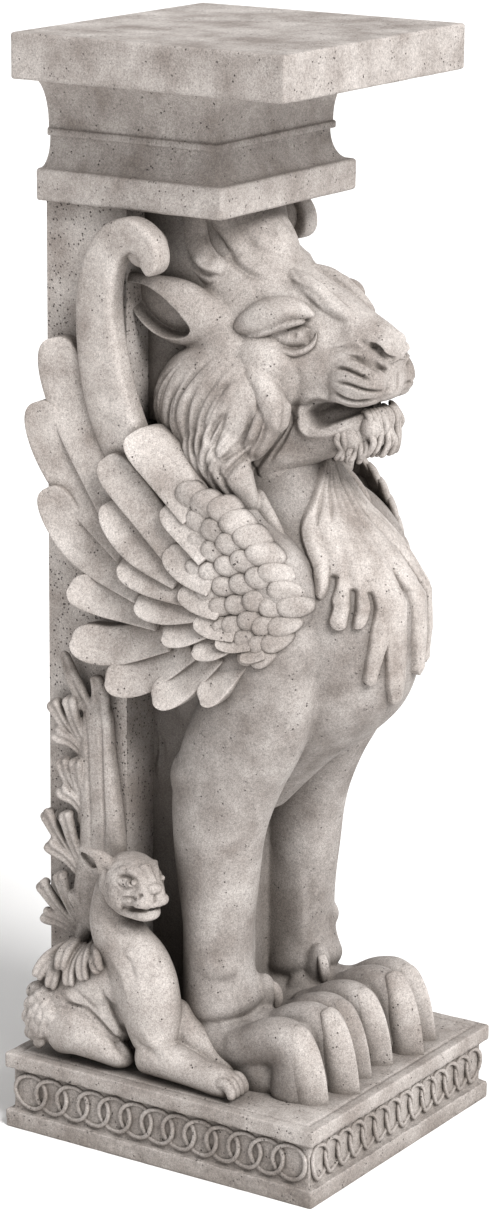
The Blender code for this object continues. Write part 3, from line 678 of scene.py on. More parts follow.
def scaleForms():
    # Domed discs in lapped rows. Over a disc, x rises as 1 - r³ and along the ray from the focus,
    # so that its free end stands proud of the next one
    forms, focus = [], np.asarray(wing["focus"])
    v = 2 * np.pi * np.arange(40) / 40
    r = np.concatenate([np.linspace(0, 0.9, 10), [0.96, 1.0, 1.0, 0.7, 0.0]])
    dome = np.concatenate([3.2 * (1 - np.linspace(0, 0.9, 10) ** 3.5), [0.3, -0.8, -6.0, -8.0, -8.0]])
    for size, places in wing["scaleRows"]:
        for place in places:
            ray = unit(np.asarray(place) - focus)
            along = (np.cos(v) * np.where(np.cos(v) > 0, 8.9, 14.0))[None] * r[:, None] * size
            across = (squared(v, 0.9)[1] * 8.7)[None] * r[:, None] * size
            y = place[0] + ray[0] * along - ray[1] * across
            z = place[1] + ray[1] * along + ray[0] * across
            level = wingSurface(np.float64(place[0]), np.float64(place[1]))
            slope = wingSurface(y, z) - level
            x = level + np.clip(slope, -9, 9) + dome[:, None] + 0.2 * along + 1.4
            forms.append(ringsForm(np.stack([x, y, z], -1)))
    return forms


scroll = dict(
    stem=((34, 498), (52, 538), (66, 574), (73, 610), (76, 650), (72, 684), (60, 707), (43, 716), (28, 710),
          (23, 698), (30, 691)),
    half=(15, 19, 20.5, 19.5, 17.5, 16, 14.5, 13, 11, 8.5, 6.0),
              level=(78, 83, 88, 93, 96, 98, 99.5, 100.5, 101, 101.5, 101.5),
    depth=10.0, discAt=(38, 706), discRadius=16.0,
)


def scrollForm():
    # A flat band carried up the stem and round into the volute, with a disc in the volute
    c = scroll
    path = [(x, y, z) for x, (y, z) in zip(c["level"], c["stem"])]
    band = tube(path, [c["depth"]] * len(path), c["half"], steps=110, sides=36, corner=5.0, ends=0.05)
    y, z = c["discAt"]
    disc = ball((90, y, z), (16.5, c["discRadius"], c["discRadius"]))
    return [band, disc]


def makeWings():
    w = wing
    flight = featherRow(w["flight"], w["tilt"], 0.15)
    covert = featherRow(w["covert"], w["tilt"], 0.1)
    lesser = featherRow(w["lesser"], w["tilt"] * 0.7, 0.0)
    makePiece("flight_feathers", join(bothSides(flight)), paintedLitStone)
    makePiece("covert_feathers", join(bothSides(covert + lesser)), paintedLitStone)
    scales = scaleForms()
    makePiece("wing_scales", join(bothSides(scales)), smoothStone)
    makePiece("wing_scrolls", join(bothSides(scrollForm())), paintedLitStone)
    print("wings made:", len(flight), "flight feathers,", len(covert + lesser), "coverts,", len(scales),
          "scales a side")


makeWings()


# Lion's body and legs

body = dict(
    chestBack=70.0, chestCorner=2.3,
    chestRows=((250, -16, 28), (300, -64, 43), (330, -102, 54), (356, -127, 63), (386, -139, 68),
               (415, -142, 71),
               (445, -141, 70), (474, -119, 66), (500, -92, 56), (525, -74, 47), (550, -62, 42),
               (575, -54, 42), (620, -48, 48)),
    webHalf=44.0, napeRows=((560, -2, 55), (620, -4, 55), (676, -16, 58), (698, -10, 60), (718, -3, 60),
                            (738, 2, 60), (741, 4, 57)),
    cell=1.7, soften=7,
    arm=dict(path=((60, -64, 425), (60, -42, 355), (59, -22, 312), (59, -12, 280), (59, -8.5, 248),
                   (59, -8.5, 214), (59, -9, 180),
                   (59, -9, 150), (58, -11, 126), (56, -18, 100)),
             wide=(32, 34, 35, 34, 33, 31, 29, 29, 31, 36), deep=(44, 46, 44, 41, 36, 32, 27.5, 27, 30,
        36)),
    flankHair=((((63, 322), (59, 306), (63, 290), (60, 278)), 1.6, 2.2),
               (((57, 318), (53, 304), (56, 290)), 1.6, 2.0), (((68, 316), (66, 302), (70, 288)), 1.6,
        -1.8),
               (((60, 314), (56, 300), (59, 286)), 1.6, -1.6)),
    toes=((16, 0, 0), (48, -9, 6), (80, -1, 0)),  # middle of each toe in x, then how far it leads and rises
)


def bodyForms():
    b = body
    forms = [ovalLoft(b["chestRows"], b["chestBack"], corner=b["chestCorner"])]
    forms.append(block((-b["webHalf"], 4, 56), (b["webHalf"], 90, 600), 6.0))
    forms.append(ovalLoft(b["napeRows"], 90))
    half = [
        tube(b["arm"]["path"], b["arm"]["wide"], b["arm"]["deep"], steps=90, sides=44, ends=0.08),
        ball((62, -42, 402), (35, 52, 62), 20),
        tube(((37, -4, 58), (37, -4, 180), (37, 2, 310)), (8, 8, 8), (24, 24, 24), steps=60, sides=30),
        ball((60, 12, 296), (24, 18, 25)), ball((70, -8, 300), (22, 34, 22), -10),
        ball((72, -14, 150), (17, 21, 15)),
        ball((68, -40, 466), (28, 62, 42), 32), ball((68, 5, 450), (26, 58, 50)),
        tube(((66, 30, 548), (66, -8, 522), (63, -44, 490), (58, -68, 464), (50, -80, 446)),
             (12, 14, 15, 14, 10), (12, 16, 20, 22, 14)),
        ball((48, -40, 76), (44, 60, 31)), ball((47, -6, 78), (34, 34, 34)),
            ball((50, -60, 74), (44, 34, 33)),
        ball((40, -37, 120), (9.5, 11, 18), 10),
        tube(((64, 0, 92), (70, -34, 88), (78, -64, 92)), (26, 25, 19), (24, 21, 19), steps=40, sides=36,
             ends=0.2),
        tube(((52, -14, 104), (50, -38, 94), (48, -70, 96)), (30, 24, 18), (26, 20, 18), steps=40, sides=36,
             ends=0.2),
    ]
    return forms + bothSides(half)


def toeForms():
    # Three toes a paw: each runs forward from the foot, arches over its knuckle and drops behind its claw
    forms = []
    for x, lead, rise in body["toes"]:
        line = ((-30, 86, 16, 16), (-52, 93, 16, 17), (-70, 102, 16.5, 18), (-86, 103, 16.5, 18.5),
                (-91, 88, 14.8, 16.5), (-91, 70, 14.6, 17), (-90, 56, 15.4, 18))
        share = np.linspace(0.3, 1, 7)
        forms.append(tube([(x, y + lead * t, z + rise * t) for (y, z, _, _), t in zip(line, share)],
                          [r[2] for r in line], [r[3] for r in line], steps=60, sides=34, ends=0.10,
                          corner=2.3))
    return forms


def clawSection(v):
    # Round at the back, drawn to a keel in front
    return np.cos(v) * np.where(np.sin(v) > 0, 1 - 0.62 * np.sin(v) ** 2, 1), np.sin(v)


def clawForms():
    # A broad blade under each knuckle, its keel an arc that ends upright on the plinth
    forms = []
    for x, lead, rise in body["toes"]:
        line = ((-90, 118, 6, 4), (-96, 112, 11, 9.5), (-100, 100, 13, 14), (-103, 84, 13, 16.5),
                (-105, 68, 11.5, 17.5), (-106, 58, 10.5, 17.5))
        forms.append(tube([(x, y + lead, z + rise * t) for (y, z, _, _),
                           t in zip(line, (1, 0.9, 0.6, 0.3, 0, 0))],
                          [r[2] for r in line], [r[3] for r in line], steps=60, sides=40, ends=0.05,
                          edge=clawSection))
    forms.append(tube(((38, -42, 130), (35, -46, 125), (34, -48, 117), (35, -47, 108)), (4, 5, 4.5, 2),
                      (3, 4.5, 4.5, 2), steps=36, sides=28, edge=clawSection))
    return forms


def makeBody():
    b = body
    lion = makePiece("lion_body", join(bodyForms() + bothSides(toeForms())), paintedShadeStone)
    fuse(lion, b["cell"], b["soften"])
    carve(lion, side=b["flankHair"])
    makePiece("claws", join(bothSides(clawForms())), smoothStone)
    print("body fused:", len(lion.data.polygons), "faces")


makeBody()


# Lion's head and mane

head = dict(
    cell=1.0, soften=6,
    # y, then the top, the bottom and the half width there, and how much narrower the top is
    upper=((-126, 640, 604, 9, 0.0), (-124, 645, 598, 17, 0.1), (-115, 651, 593, 24, 0.2),
           (-103, 657, 592, 29, 0.26), (-88, 665, 588, 31, 0.26),
           (-72, 673, 586, 36, 0.2), (-56, 681, 580, 44, 0.12), (-38, 690, 568, 51, 0.06),
           (-18, 705, 560, 56, 0.04), (4, 720, 555, 57, 0.04), (30, 726, 550, 55, 0.0)),
    lower=((-114, 590, 574, 10, 0.0), (-109, 593, 563, 18, 0.0), (-99, 594, 556, 24, -0.06),
           (-86, 592, 551, 29, -0.06), (-66, 590, 542, 35, -0.02),
           (-44, 585, 524, 41, 0.0), (-20, 580, 500, 46, 0.0), (20, 580, 496, 46, 0.0)),
    # throat as level ovals: height, front, half width
    throat=((500, -74, 44), (522, -66, 44), (545, -58, 43), (560, -60, 43), (573, -70, 41), (584, -82, 37),
            (596, -88, 30)),
    mouth=((-64, 583), (-70, 590), (-84, 592), (-104, 592), (-121, 594), (-119, 589), (-105, 585),
           (-90, 578), (-78, 573), (-69, 575)),
    lip=((-121, 597), (-104, 597), (-86, 598), (-72, 598), (-62, 591), (-61, 579), (-68, 568), (-84, 570),
         (-98, 577), (-110, 583)),
    whiskers=(((-97, 630), (-108, 629), (-121, 623), (-131, 614)),
              ((-88, 620), (-99, 622), (-111, 619), (-123, 614)),
              ((-92, 611), (-104, 611), (-119, 607), (-131, 605)),
              ((-88, 605), (-99, 600), (-111, 598), (-124, 600))),
    padEdge=((-80, 628), (-90, 634), (-104, 636), (-114, 633)),
    # guide lines of the mane from its back edge to the cheek, each a fall of hair from top to bottom
    maneGuides=(
        ((25, 621), (41, 599), (48, 577), (43, 558), (24, 542)),
                ((17, 622), (34, 600), (40, 576), (32, 554), (14, 537)),
        ((-2, 627), (19, 601), (25, 578), (20, 553), (5, 535)),
                ((-17, 632), (2, 608), (10, 582), (8, 557), (-6, 533)),
        ((-26, 627), (-11, 603), (-2, 579), (-2, 553), (-15, 532)),
                ((-32, 618), (-27, 597), (-17, 576), (-11, 552), (-21, 530)),
        ((-29, 606), (-34, 586), (-28, 565), (-15, 543), (-18, 523)),
                ((-35, 604), (-47, 586), (-45, 565), (-28, 543), (-24, 522)),
        ((-40, 603), (-53, 585), (-52, 565), (-40, 543), (-34, 522)),
    ),
    maneLines=(
        (((-34, 616), (-18, 601), (-9, 581), (-7, 561), (-3, 543)), 2.3, 3.0),
               (((-27, 588), (-17, 575), (-15, 561)), 2.1, 3.0),
        (((-47, 569), (-37, 560), (-23, 550)), 2.0, 2.6), (((-24, 576), (-20, 562), (-24, 550)), 2.0, 2.4),
        (((-14, 548), (-22, 530), (-34, 514)), 1.8, 2.6), (((-4, 545), (-16, 528), (-30, 510)), 1.6, 2.2),
               (((-24, 548), (-30, 532), (-38, 516)), 1.8, 2.4)),
    maneSwells=((((16, 620), (34, 604), (43, 585), (40, 566)), 5.0, 2.0),
                (((0, 600), (14, 584), (20, 564)), 6.0, 2.2),
                (((-22, 596), (-13, 580), (-11, 560)), 3.5, 1.6),
                (((-36, 606), (-46, 592), (-46, 578), (-34, 564)), 5.0, 2.6)),
    browLines=(
        (((-34, 690), (-56, 687), (-80, 669), (-97, 662)), 4.6, -1.2),
               (((-30, 676), (-52, 678), (-70, 672), (-84, 658)), 4.4, 2.2),
        (((27, 703), (21, 692), (9, 684), (-4, 682)), 2.4, 3.6),
               (((2, 704), (-7, 693), (-20, 685), (-34, 680)), 2.2, 2.8),
        (((-18, 724), (-21, 716), (-27, 708)), 2.0, 2.8), (((12, 716), (4, 704), (6, 692)), 3.0, 2.6),
               (((-40, 690), (-54, 683), (-70, 680)), 2.0, 1.4),
        (((18, 700), (10, 690), (-2, 687)), 3.0, -2.4), (((-4, 700), (-18, 690), (-32, 686)), 3.0, -2.0)),
    nostril=((-112, 641), (-118, 639), (-126, 633), (-131, 627), (-126, 625), (-118, 630), (-112, 635)),
    earHollow=((72, 672), (60, 676), (44, 674), (28, 664), (14, 648), (14, 640), (24, 635), (40, 636),
               (56, 645), (68, 660)),
)


def levelLoft(rows, steps=80, sides=60, corner=2.4):
    # Upright sections along y: x = half·cos(v)·(1 - narrow·sin(v)), z = middle + high·sin(v), both
    # squared off to the power corner
    rows = np.asarray(rows, float)
    s = np.linspace(0, 1, steps)
    y, top, bottom, half, narrow = curveAt(rows, s).T
    v = 2 * np.pi * np.arange(sides) / sides
    a, b = squared(v, 2 / corner)
    x = half[:, None] * a * (1 - narrow[:, None] * b)
    z = (top + bottom)[:, None] / 2 + (top - bottom)[:, None] / 2 * b
    return ringsForm(np.stack([x, y[:, None] + 0 * x, z], -1))


def headForms():
    half = [
        tube(((10, -34, 680), (16, -50, 678), (18, -64, 672), (17, -80, 661), (12, -96, 652)),
             (9, 10, 9, 8, 6), (8, 8, 8, 7, 6), steps=50, sides=28),
        ball((38, -30, 612), (27, 34, 36)), ball((44, -4, 622), (24, 30, 32)),
        ball((20, -101, 611), (17, 26, 21), 8),
        ball((11, -121, 629), (10, 7, 9)),
    ]
    return [levelLoft(head["upper"]), levelLoft(head["lower"]),
            ovalLoft(head["throat"], 40, corner=2.6)] + bothSides(half)


def maneForms():
    half = [
        ball((56, 0, 584), (29, 51, 49)),
        tube(((66, 4, 572), (72, -14, 550), (71, -28, 530), (62, -42, 508)), (18, 18, 13, 5),
             (30, 27, 19, 6), steps=50, sides=36),
        tube(((54, -34, 524), (60, -47, 512), (62, -60, 498), (60, -68, 488)), (5, 6, 5, 2), (8, 8, 6, 2),
             steps=40, sides=24),
        tube(((56, -26, 622), (58, -48, 604), (59, -54, 588), (62, -46, 570), (66, -32, 552)),
             (10, 11, 12, 13, 12), (10, 9, 10, 11, 11), steps=50, sides=30),
        tube(((0, -24, 680), (0, -16, 702), (0, 0, 720), (0, 6, 740)), (22, 26, 32, 36), (14, 13, 14, 14),
             steps=40),
        tube(((20, -16, 680), (26, -2, 700), (32, 8, 718), (36, 14, 740)), (12, 13, 13, 14),
             (10, 11, 12, 12), steps=40),
        tube(((44, 0, 678), (50, 16, 694), (50, 24, 712), (50, 26, 740)), (10, 9, 8, 8), (13, 14, 14, 13),
             steps=40),
    ]
    return bothSides(half)


def maneStrands():
    # Creases between each two guide lines; their reach, sway, width and depth come from a fixed seed
    rng, guides = np.random.default_rng(11), np.asarray(head["maneGuides"], float)
    strands = []
    for first, second in zip(guides[:-1], guides[1:]):
        for share in (0.1, 0.45, 0.8):
            between = share + rng.uniform(-0.2, 0.2)
            line = first + (second - first) * between + rng.uniform(-1.9, 1.9, first.shape)
            line = curveAt(line, np.linspace(rng.uniform(0, 0.3), rng.uniform(0.75, 1), 6))
            strands.append((line, rng.uniform(0.9, 2.4), rng.uniform(0.6, 3.2)))
    return strands


def earForm():
    # Leaf of the ear: half height grows and falls along a line laid back from the skull
    return tube(((46, -12, 644), (56, 6, 649), (64, 26, 655), (71, 48, 664), (75, 72, 679)),
                (12, 12, 12, 10, 3), (12, 20, 25, 20, 5),
                steps=70, sides=60, ends=0.06)


def eyeForms():
    # Ball, heavy upper lid with a fold under it, thin lower lid that turns up at the inner corner
    half = [
        ball((34, -50, 641), (11.5, 24, 11.5), lean=-22),
        tube(((48, -14, 643), (51, -26, 650), (49, -42, 658), (43, -58, 663), (33, -74, 658)),
             (6, 9, 10.5, 10, 3), (4, 9, 12, 9, 3), steps=60, sides=34, ends=0.16),
        tube(((50, -24, 640), (50, -36, 643), (48, -48, 649), (43, -60, 653), (37, -68, 654)),
             (5, 5.5, 5.5, 5, 2), (2.6, 3.6, 4.2, 3.4, 2), steps=50, sides=26),
        tube(((50, -22, 634), (49, -36, 634), (46, -50, 632), (41, -62, 630), (35, -71, 635),
              (32, -74, 645)), (4, 4.5, 4.5, 4, 3.4, 2), (2.2, 2.6, 2.8, 2.8, 2.4, 1.6), steps=60),
    ]
    return bothSides(half)


def beardForms():
    # Fine wavy tufts in two bunches under the lower lip, curled at their ends, laid by a fixed seed
    half, rng = [], np.random.default_rng(4)
    roots = [(2.5 + 15 * t, -122 + 9 * t**1.6, 588, 30 + 5 * rng.uniform(-1, 1)) for t in np.linspace(0, 1,
            7)]
    roots += [(2 + 12 * t, -115 + 6 * t, 586, 34) for t in np.linspace(0, 1, 4)]
    roots += [(17 + 8 * t, -108 + 18 * t, 575, 25 + 3 * rng.uniform(-1, 1)) for t in np.linspace(0, 1, 6)]
    for x, y, z, fall in roots:
        a, b, c = rng.uniform(-2.2, 2.2, 3)
        half.append(tube(((x, y + 5, z + 2), (x + 0.5, y, z - 0.15 * fall),
                          (x + a, y - 2 + b, z - 0.42 * fall), (x - a * 0.6, y - 1 - b, z - 0.7 * fall),
                          (x + c, y + 1, z - 0.95 * fall), (x + c * 1.6, y + 4, z - fall + 1)),
                         (2.4, 3.0, 2.8, 2.6, 2.2, 1.2), (2.4, 3.2, 3.0, 2.8, 2.3, 1.2), steps=40, sides=14,
                         ends=0.1))
    half.append(ball((8, -112, 576), (15, 10, 12)))
    half.append(ball((19, -97, 566), (8, 10, 9)))
    return bothSides(half)


def makeHead():
    h = head
    piece = makePiece("lion_head", join(headForms() + maneForms() + bothSides([earForm()])), smoothStone)
    fuse(piece, h["cell"], h["soften"])
    side = list(h["maneLines"]) + maneStrands() + [(line, width, -rise) for line, width,
                                                   rise in h["maneSwells"]] + list(h["browLines"])
    side += [(line, 1.1, 4.0) for line in h["whiskers"]] + [(h["lip"], 3.0, -3.2), (h["padEdge"], 2.4, 2.2),
             (((-104, 643), (-110, 639), (-116, 635)), 1.7, 2.4), (((-114, 642), (-124, 641), (-133, 637)),
            2.6, -1.4)]
    carve(piece, side=side,
          front=[(((-6, 591), (16, 591), (24, 593)), 2.0, 4.0), (((0, 618), (0, 600)), 1.6, 2.0),
                 (((6, 622), (13, 625), (19, 634)), 1.8, 1.8)],
          hollows=[(h["mouth"], 13.0, 2.6, 8.0), (h["earHollow"], 18.0, 4.0, 40.0),
                   (h["nostril"], 7.0, 1.6, 3.0)],
          presses=[((36, -84, 650), (22, 18, 16), (-5, 0, 0)), ((40, -62, 641), (14, 20, 14), (-6, 2, 0)),
                   ((38, -84, 586), (14, 14, 10), (-1, 0, 0)), ((50, -58, 606), (18, 20, 18), (-4, 2, 0)),
                   ((40, -70, 556), (20, 30, 16), (-4, 0, 0))])
    lids = makePiece("eyes", join(eyeForms()), smoothStone)
    fuse(lids, 0.7, 3)
    carve(lids, presses=[((44, -60, 643), (7, 3.4, 4.4), (-2.4, 0, 0)),
                         ((36, -71, 642), (8, 6, 8), (-5, 2, 0))])
    tufts = makePiece("beard", join(beardForms()), smoothStone)
    print("head, eyes and beard made:", len(piece.data.polygons), len(lids.data.polygons),
          len(tufts.data.polygons), "faces")


makeHead()


# Acanthus bib on the chest

leaf = dict(
    # midline of each lobe in x z, its half widths, and the sides it grows on
    lobes=(
        (((3, 546), (20, 524), (36, 505), (45, 488), (51, 472), (56, 456)), (2, 6, 9, 8, 7, 6.4), (1, -1)),
        (((3, 544), (18, 520), (32, 498), (41, 476), (49, 456), (54, 436)), (3, 9, 10, 9, 8.5, 8), (1, -1)),
        (((3, 542), (14, 516), (26, 492), (36, 468), (42, 450), (46, 436)), (3, 9, 10, 9, 7.5, 7), (1, -1)),
        (((3, 540), (10, 512), (20, 486), (28, 458), (33, 430), (36, 404), (37, 391)),
         (3, 10, 11, 10, 9, 7, 6), (1, -1)),
        (((2, 540), (6, 510), (12, 480), (18, 448), (20, 418), (17, 390), (11, 372)),
         (3, 8, 9, 10, 11, 10, 7), (-1,)),
        (((1, 540), (2, 500), (6, 470), (9, 440), (10, 412), (11, 391)), (3, 8, 11, 13, 11, 7), (1,)),
        (((0, 540), (1, 510), (1, 480), (2, 455)), (3, 7, 9, 9), (1,)),
    ),
    # clefts between the lobes in x z, and their sides
    slots=((((48, 466), (52, 458), (58, 448)), (1, -1)), (((43, 456), (48, 444), (50, 428)), (1, -1)),
           (((35, 453), (40, 431), (42, 407), (42, 384)), (1, -1)),
           (((29, 403), (31, 395), (32, 384)), (1, -1)), (((2, 400), (4, 392), (5, 378)), (-1,)),
           (((17, 452), (22, 440), (26, 420)), (1,))),
    slotHalf=1.2,
    heights=(352, 556), reach=80.0, steps=250, across=250, sunk=-2.5, edgeRise=6.0, dome=2.6, flare=1.8,
            back=9.0, fadeFrom=488.0, fadeOver=26.0, keel=3.0, leastEdge=0.2, domeLoss=0.8,
)


def onChest(turn, height):
    # The chest's skin at an angle round it from the front, and its outward normal
    rows = np.asarray(body["chestRows"], float)
    front, half = np.interp(height, rows[:, 0], rows[:, 1]), np.interp(height, rows[:, 0], rows[:, 2])
    middle, reach = (body["chestBack"] + front) / 2, (body["chestBack"] - front) / 2
    share = 2 / body["chestCorner"]
    x = half * np.sign(np.sin(turn)) * np.abs(np.sin(turn)) ** share
    return np.stack([x, middle - reach * np.abs(np.cos(turn)) ** share, height + 0 * turn], -1)


def lobeDepth(points, line, half):
    # For each point, 1 on the lobe's midline, 0 at its edge and below 0 outside, and how far along
    s = np.linspace(0, 1, 36)
    line, half = curveAt(line, s), curveAt(half, s)[:, 0]
    best, along = np.full(len(points), -9.0), np.zeros(len(points))
    for k in range(len(line) - 1):
        a, step = line[k], line[k + 1] - line[k]
        t = np.clip(((points - a) @ step) / (step @ step), 0, 1)
        depth = 1 - np.linalg.norm(points - a - t[:, None] * step,
                                   axis=1) / (half[k] + t * (half[k + 1] - half[k]))
        better = depth > best
        best[better], along[better] = depth[better], (s[k] + t * (s[k + 1] - s[k]))[better]
    return best, along


def leafForm():
    # A sheet on the chest. Its height is sunk + edgeRise·ease(d / edge) + dome·ease(d) + flare·along⁶,
    # where d is the greatest depth inside any lobe; between the lobes it lies under the skin. The
    # edge grows to 1 and the dome shrinks upwards, so the sheet melts into the neck under a keel.
    c = leaf
    turn = np.radians(np.linspace(-c["reach"], c["reach"], c["across"]))
    height = np.linspace(*c["heights"], c["steps"])
    turns, heights = np.meshgrid(turn, height)
    skin = onChest(turns, heights)
    normal = unit(np.cross(np.gradient(skin, axis=1), np.gradient(skin, axis=0)))
    normal *= np.where(normal[..., 1:2] > 0, -1, 1)
    flat = skin.reshape(-1, 3)
    table = np.linspace(0, np.pi / 2, 200)
    rise = np.full(len(flat), c["sunk"])
    upwards = ease((flat[:, 2] - c["fadeFrom"]) / c["fadeOver"])
    edge = c["leastEdge"] + (1 - c["leastEdge"]) * upwards
    for path, half, sides in c["lobes"]:
        smooth = curveAt(path, np.linspace(0, 1, 20))
        rows = onChest(table[None], smooth[:, 1:])
        line = np.array([row[np.argmin(np.abs(row[:, 0] - x))] for row, x in zip(rows, smooth[:, 0])])
        wide = curveAt(half, np.linspace(0, 1, 20))[:, 0]
        for flip in sides:
            depth, along = lobeDepth(flat, line * (flip, 1, 1), wide)
            dome = c["dome"] * ease(depth) * (1 - c["domeLoss"] * upwards)
            curl = c["flare"] * along**6 * (depth > 0)
            rise = np.maximum(rise, c["sunk"] + c["edgeRise"] * ease(depth / edge) + dome + curl)
    for path, sides in c["slots"]:
        for flip in sides:
            rise -= (rise - c["sunk"]) * strokeFall(flat[:, [0, 2]], np.asarray(path, float) * (flip, 1),
                                                    c["slotHalf"], ends=0)
    rise += c["keel"] * upwards * np.exp(-((flat[:, 0] / 5.0) ** 2))
    front = skin + normal * rise.reshape(turns.shape)[..., None]
    back = skin - normal * c["back"]
    return ringsForm(np.concatenate([front, back[:, ::-8]], 1))


def makeLeaf():
    piece = makePiece("chest_leaf", leafForm(), paintedLitStone)
    print("leaf made:", len(piece.data.polygons), "faces")


makeLeaf()


# Cub and acanthus stem on the pier's flank

cub = dict(
    cell=0.95, soften=4,
    # head, facing forwards about x = 0: upright sections along y with top, bottom, half width and how
    # much narrower the top is; then where it stands and how far it turns outwards, in degrees
    upper=((-40, 219, 208, 5, 0.0), (-39, 222, 204, 9, 0.05), (-34, 226, 201, 12.5, 0.15),
           (-29, 230, 200, 13.5, 0.25), (-24, 233, 199, 17, 0.2),
           (-15, 236, 198, 21, 0.12), (-2, 237, 197, 23, 0.08), (8, 235, 197, 22, 0.08),
           (15, 231, 199, 17, 0.1), (20, 223, 206, 8, 0.0)),
    lower=((-35, 201, 194, 5, 0.0), (-32, 203, 191, 9.5, 0.0), (-24, 203, 190, 13, 0.0),
           (-10, 203, 191, 18, 0.0), (8, 206, 196, 16, 0.0), (16, 208, 200, 8, 0.0)),
    headAt=(100, 47, 0), turn=25.0,
    mouth=((-39, 205), (-32, 205), (-26, 204), (-21, 201.5), (-24, 198.5), (-30, 199.5), (-38, 200)),
    face=(
        (((-12, 224), (-20, 226.5), (-27, 224), (-31, 219)), 1.2, 3.2),
          (((-14, 221), (-21, 218), (-28, 218)), 1.1, 1.4),
        (((-8, 228), (-18, 231), (-28, 227), (-34, 222)), 2.0, -2.2), (((-38, 216), (-34, 213)), 1.3, 2.2),
          (((-36, 211), (-27, 211), (-20, 209)), 1.1, 1.6),
        (((-33, 208), (-24, 208), (-18, 204), (-20, 197), (-28, 195)), 1.6, -1.4),
          (((-6, 220), (-4, 208), (-10, 198)), 2.6, 1.4), (((2, 232), (0, 220), (4, 208)), 2.4, 1.2),
        (((-2, 236), (-12, 238), (-20, 236)), 1.6, 1.2),
    ),
    earHollow=((5, 227), (12, 225), (19, 229), (26, 236), (16, 237), (7, 234)),
    lines=(
        (((98, 114), (72, 109), (50, 91), (32, 71)), 1.8, 3.0),
           (((60, 132), (52, 114), (42, 98), (33, 80)), 1.8, 3.2),
        (((16, 160), (14, 140), (6, 122)), 5.0, 1.2), (((50, 160), (36, 146), (30, 128)), 3.5, -1.4),
           (((40, 164), (30, 156), (24, 142)), 2.2, 1.2),
        (((56, 190), (46, 180), (36, 178)), 2.2, 1.4), (((20, 108), (8, 94), (-10, 86)), 3.0, -1.0),
           (((30, 98), (14, 90), (0, 84)), 2.0, 1.2),
        (((86, 128), (72, 118), (60, 106)), 1.8, 1.2), (((94, 124), (80, 114), (66, 104)), 2.0, -1.0),
           (((100, 122), (86, 112), (74, 112)), 1.5, 1.0),
        (((70, 98), (60, 90), (50, 78)), 3.0, -1.0),
    ),
)


def turned(form, degrees, place):
    # A form turned about the upright axis through the origin, then moved to its place
    turn = np.array(Matrix.Rotation(math.radians(degrees), 3, "Z"))
    return form[0] @ turn.T + np.asarray(place, float), form[1], form[2]


def cubHeadForms():
    half = [
        ball((12.5, -26, 222), (4.2, 5, 3.2)), ball((8, -33, 208), (7, 7.5, 6)),
            ball((16, -8, 208), (8, 13, 12)),
    ]
    ear = tube(((14, 1, 228), (20, 7, 230), (25, 14, 233), (30, 25, 238)), (5, 6, 5, 2), (7, 10, 9, 2.5),
               ends=0.08)
    nose = [ball((0, -38.5, 219), (6.5, 4, 4.5)), tube(((0, -36, 221), (0, -29, 227), (0, -22, 234)),
                                                       (5, 4.5, 6), (5, 5, 4), steps=30)]
    return [levelLoft(cub["upper"], steps=60, sides=48, corner=2.3),
            levelLoft(cub["lower"], steps=40, sides=36), ear] + nose + bothSides(half)


def makeCubHeads():
    # Fused and cut while it looks straight ahead, then turned and set on both flanks
    model = makePiece("cub_heads", join(cubHeadForms()), smoothStone)
    fuse(model, 0.7, 3)
    carve(model, side=cub["face"], front=[(((0, 216), (0, 207)), 1.1, 2.0)],
          hollows=[(cub["mouth"], 3.6, 1.2, 1.0), (cub["earHollow"], 5.0, 1.8, 19.0)])
    corners = np.zeros(len(model.data.loops), np.int32)
    model.data.loops.foreach_get("vertex_index", corners)
    form = (readPoints(model)[0], corners.reshape(-1, 4), np.zeros((0, 3), int))
    bpy.data.objects.remove(model)
    return makePiece("cub_heads", join(bothSides([turned(form, cub["turn"], cub["headAt"])])), smoothStone)


def cubForms():
    forms = [
        tube(((101, 58, 216), (101, 62, 196), (102, 60, 178), (103, 49, 162), (104, 34, 144),
              (105, 24, 120), (107, 18, 98), (108, 14, 82)),
             (13, 15, 17, 19, 21, 20, 17, 14), (14, 16, 20, 25, 29, 27, 22, 16), steps=80, sides=44,
             ends=0.08),
        tube(((108, 30, 82), (109, 4, 80), (111, -24, 76), (112, -46, 74), (112, -58, 72)),
             (16, 16, 13, 12.5, 10), (18, 16, 12.5, 12, 9), steps=60, sides=36, ends=0.08),
        tube(((90, 18, 118), (91, -4, 96), (90, -26, 80), (90, -44, 71)), (13, 13, 11, 9), (14, 13, 11, 9),
             steps=50),
        tube(((102, 112, 100), (103, 88, 118), (103, 64, 134), (103, 48, 140)), (22, 22, 20, 18),
             (22, 26, 28, 24), steps=50, sides=36),
        tube(((102, 90, 108), (103, 66, 98), (103, 44, 88)), (20, 18, 14), (30, 30, 24), steps=40,
             sides=36),
        ball((108, 108, 94), (20, 23, 28), -20),
        tube(((110, 110, 86), (115, 86, 88), (114, 60, 80), (111, 36, 70)), (18, 17, 14, 9),
             (24, 21, 14, 8), steps=50, sides=36),
    ]
    for k in range(4):
        x = 103 + 6.0 * k
        forms.append(tube(((x, -48, 76), (x, -57, 77), (x, -62, 71), (x, -62, 65)), (3.4, 3.9, 3.8, 3),
                          (4, 4.6, 4.2, 3), steps=24, sides=18))
    return forms


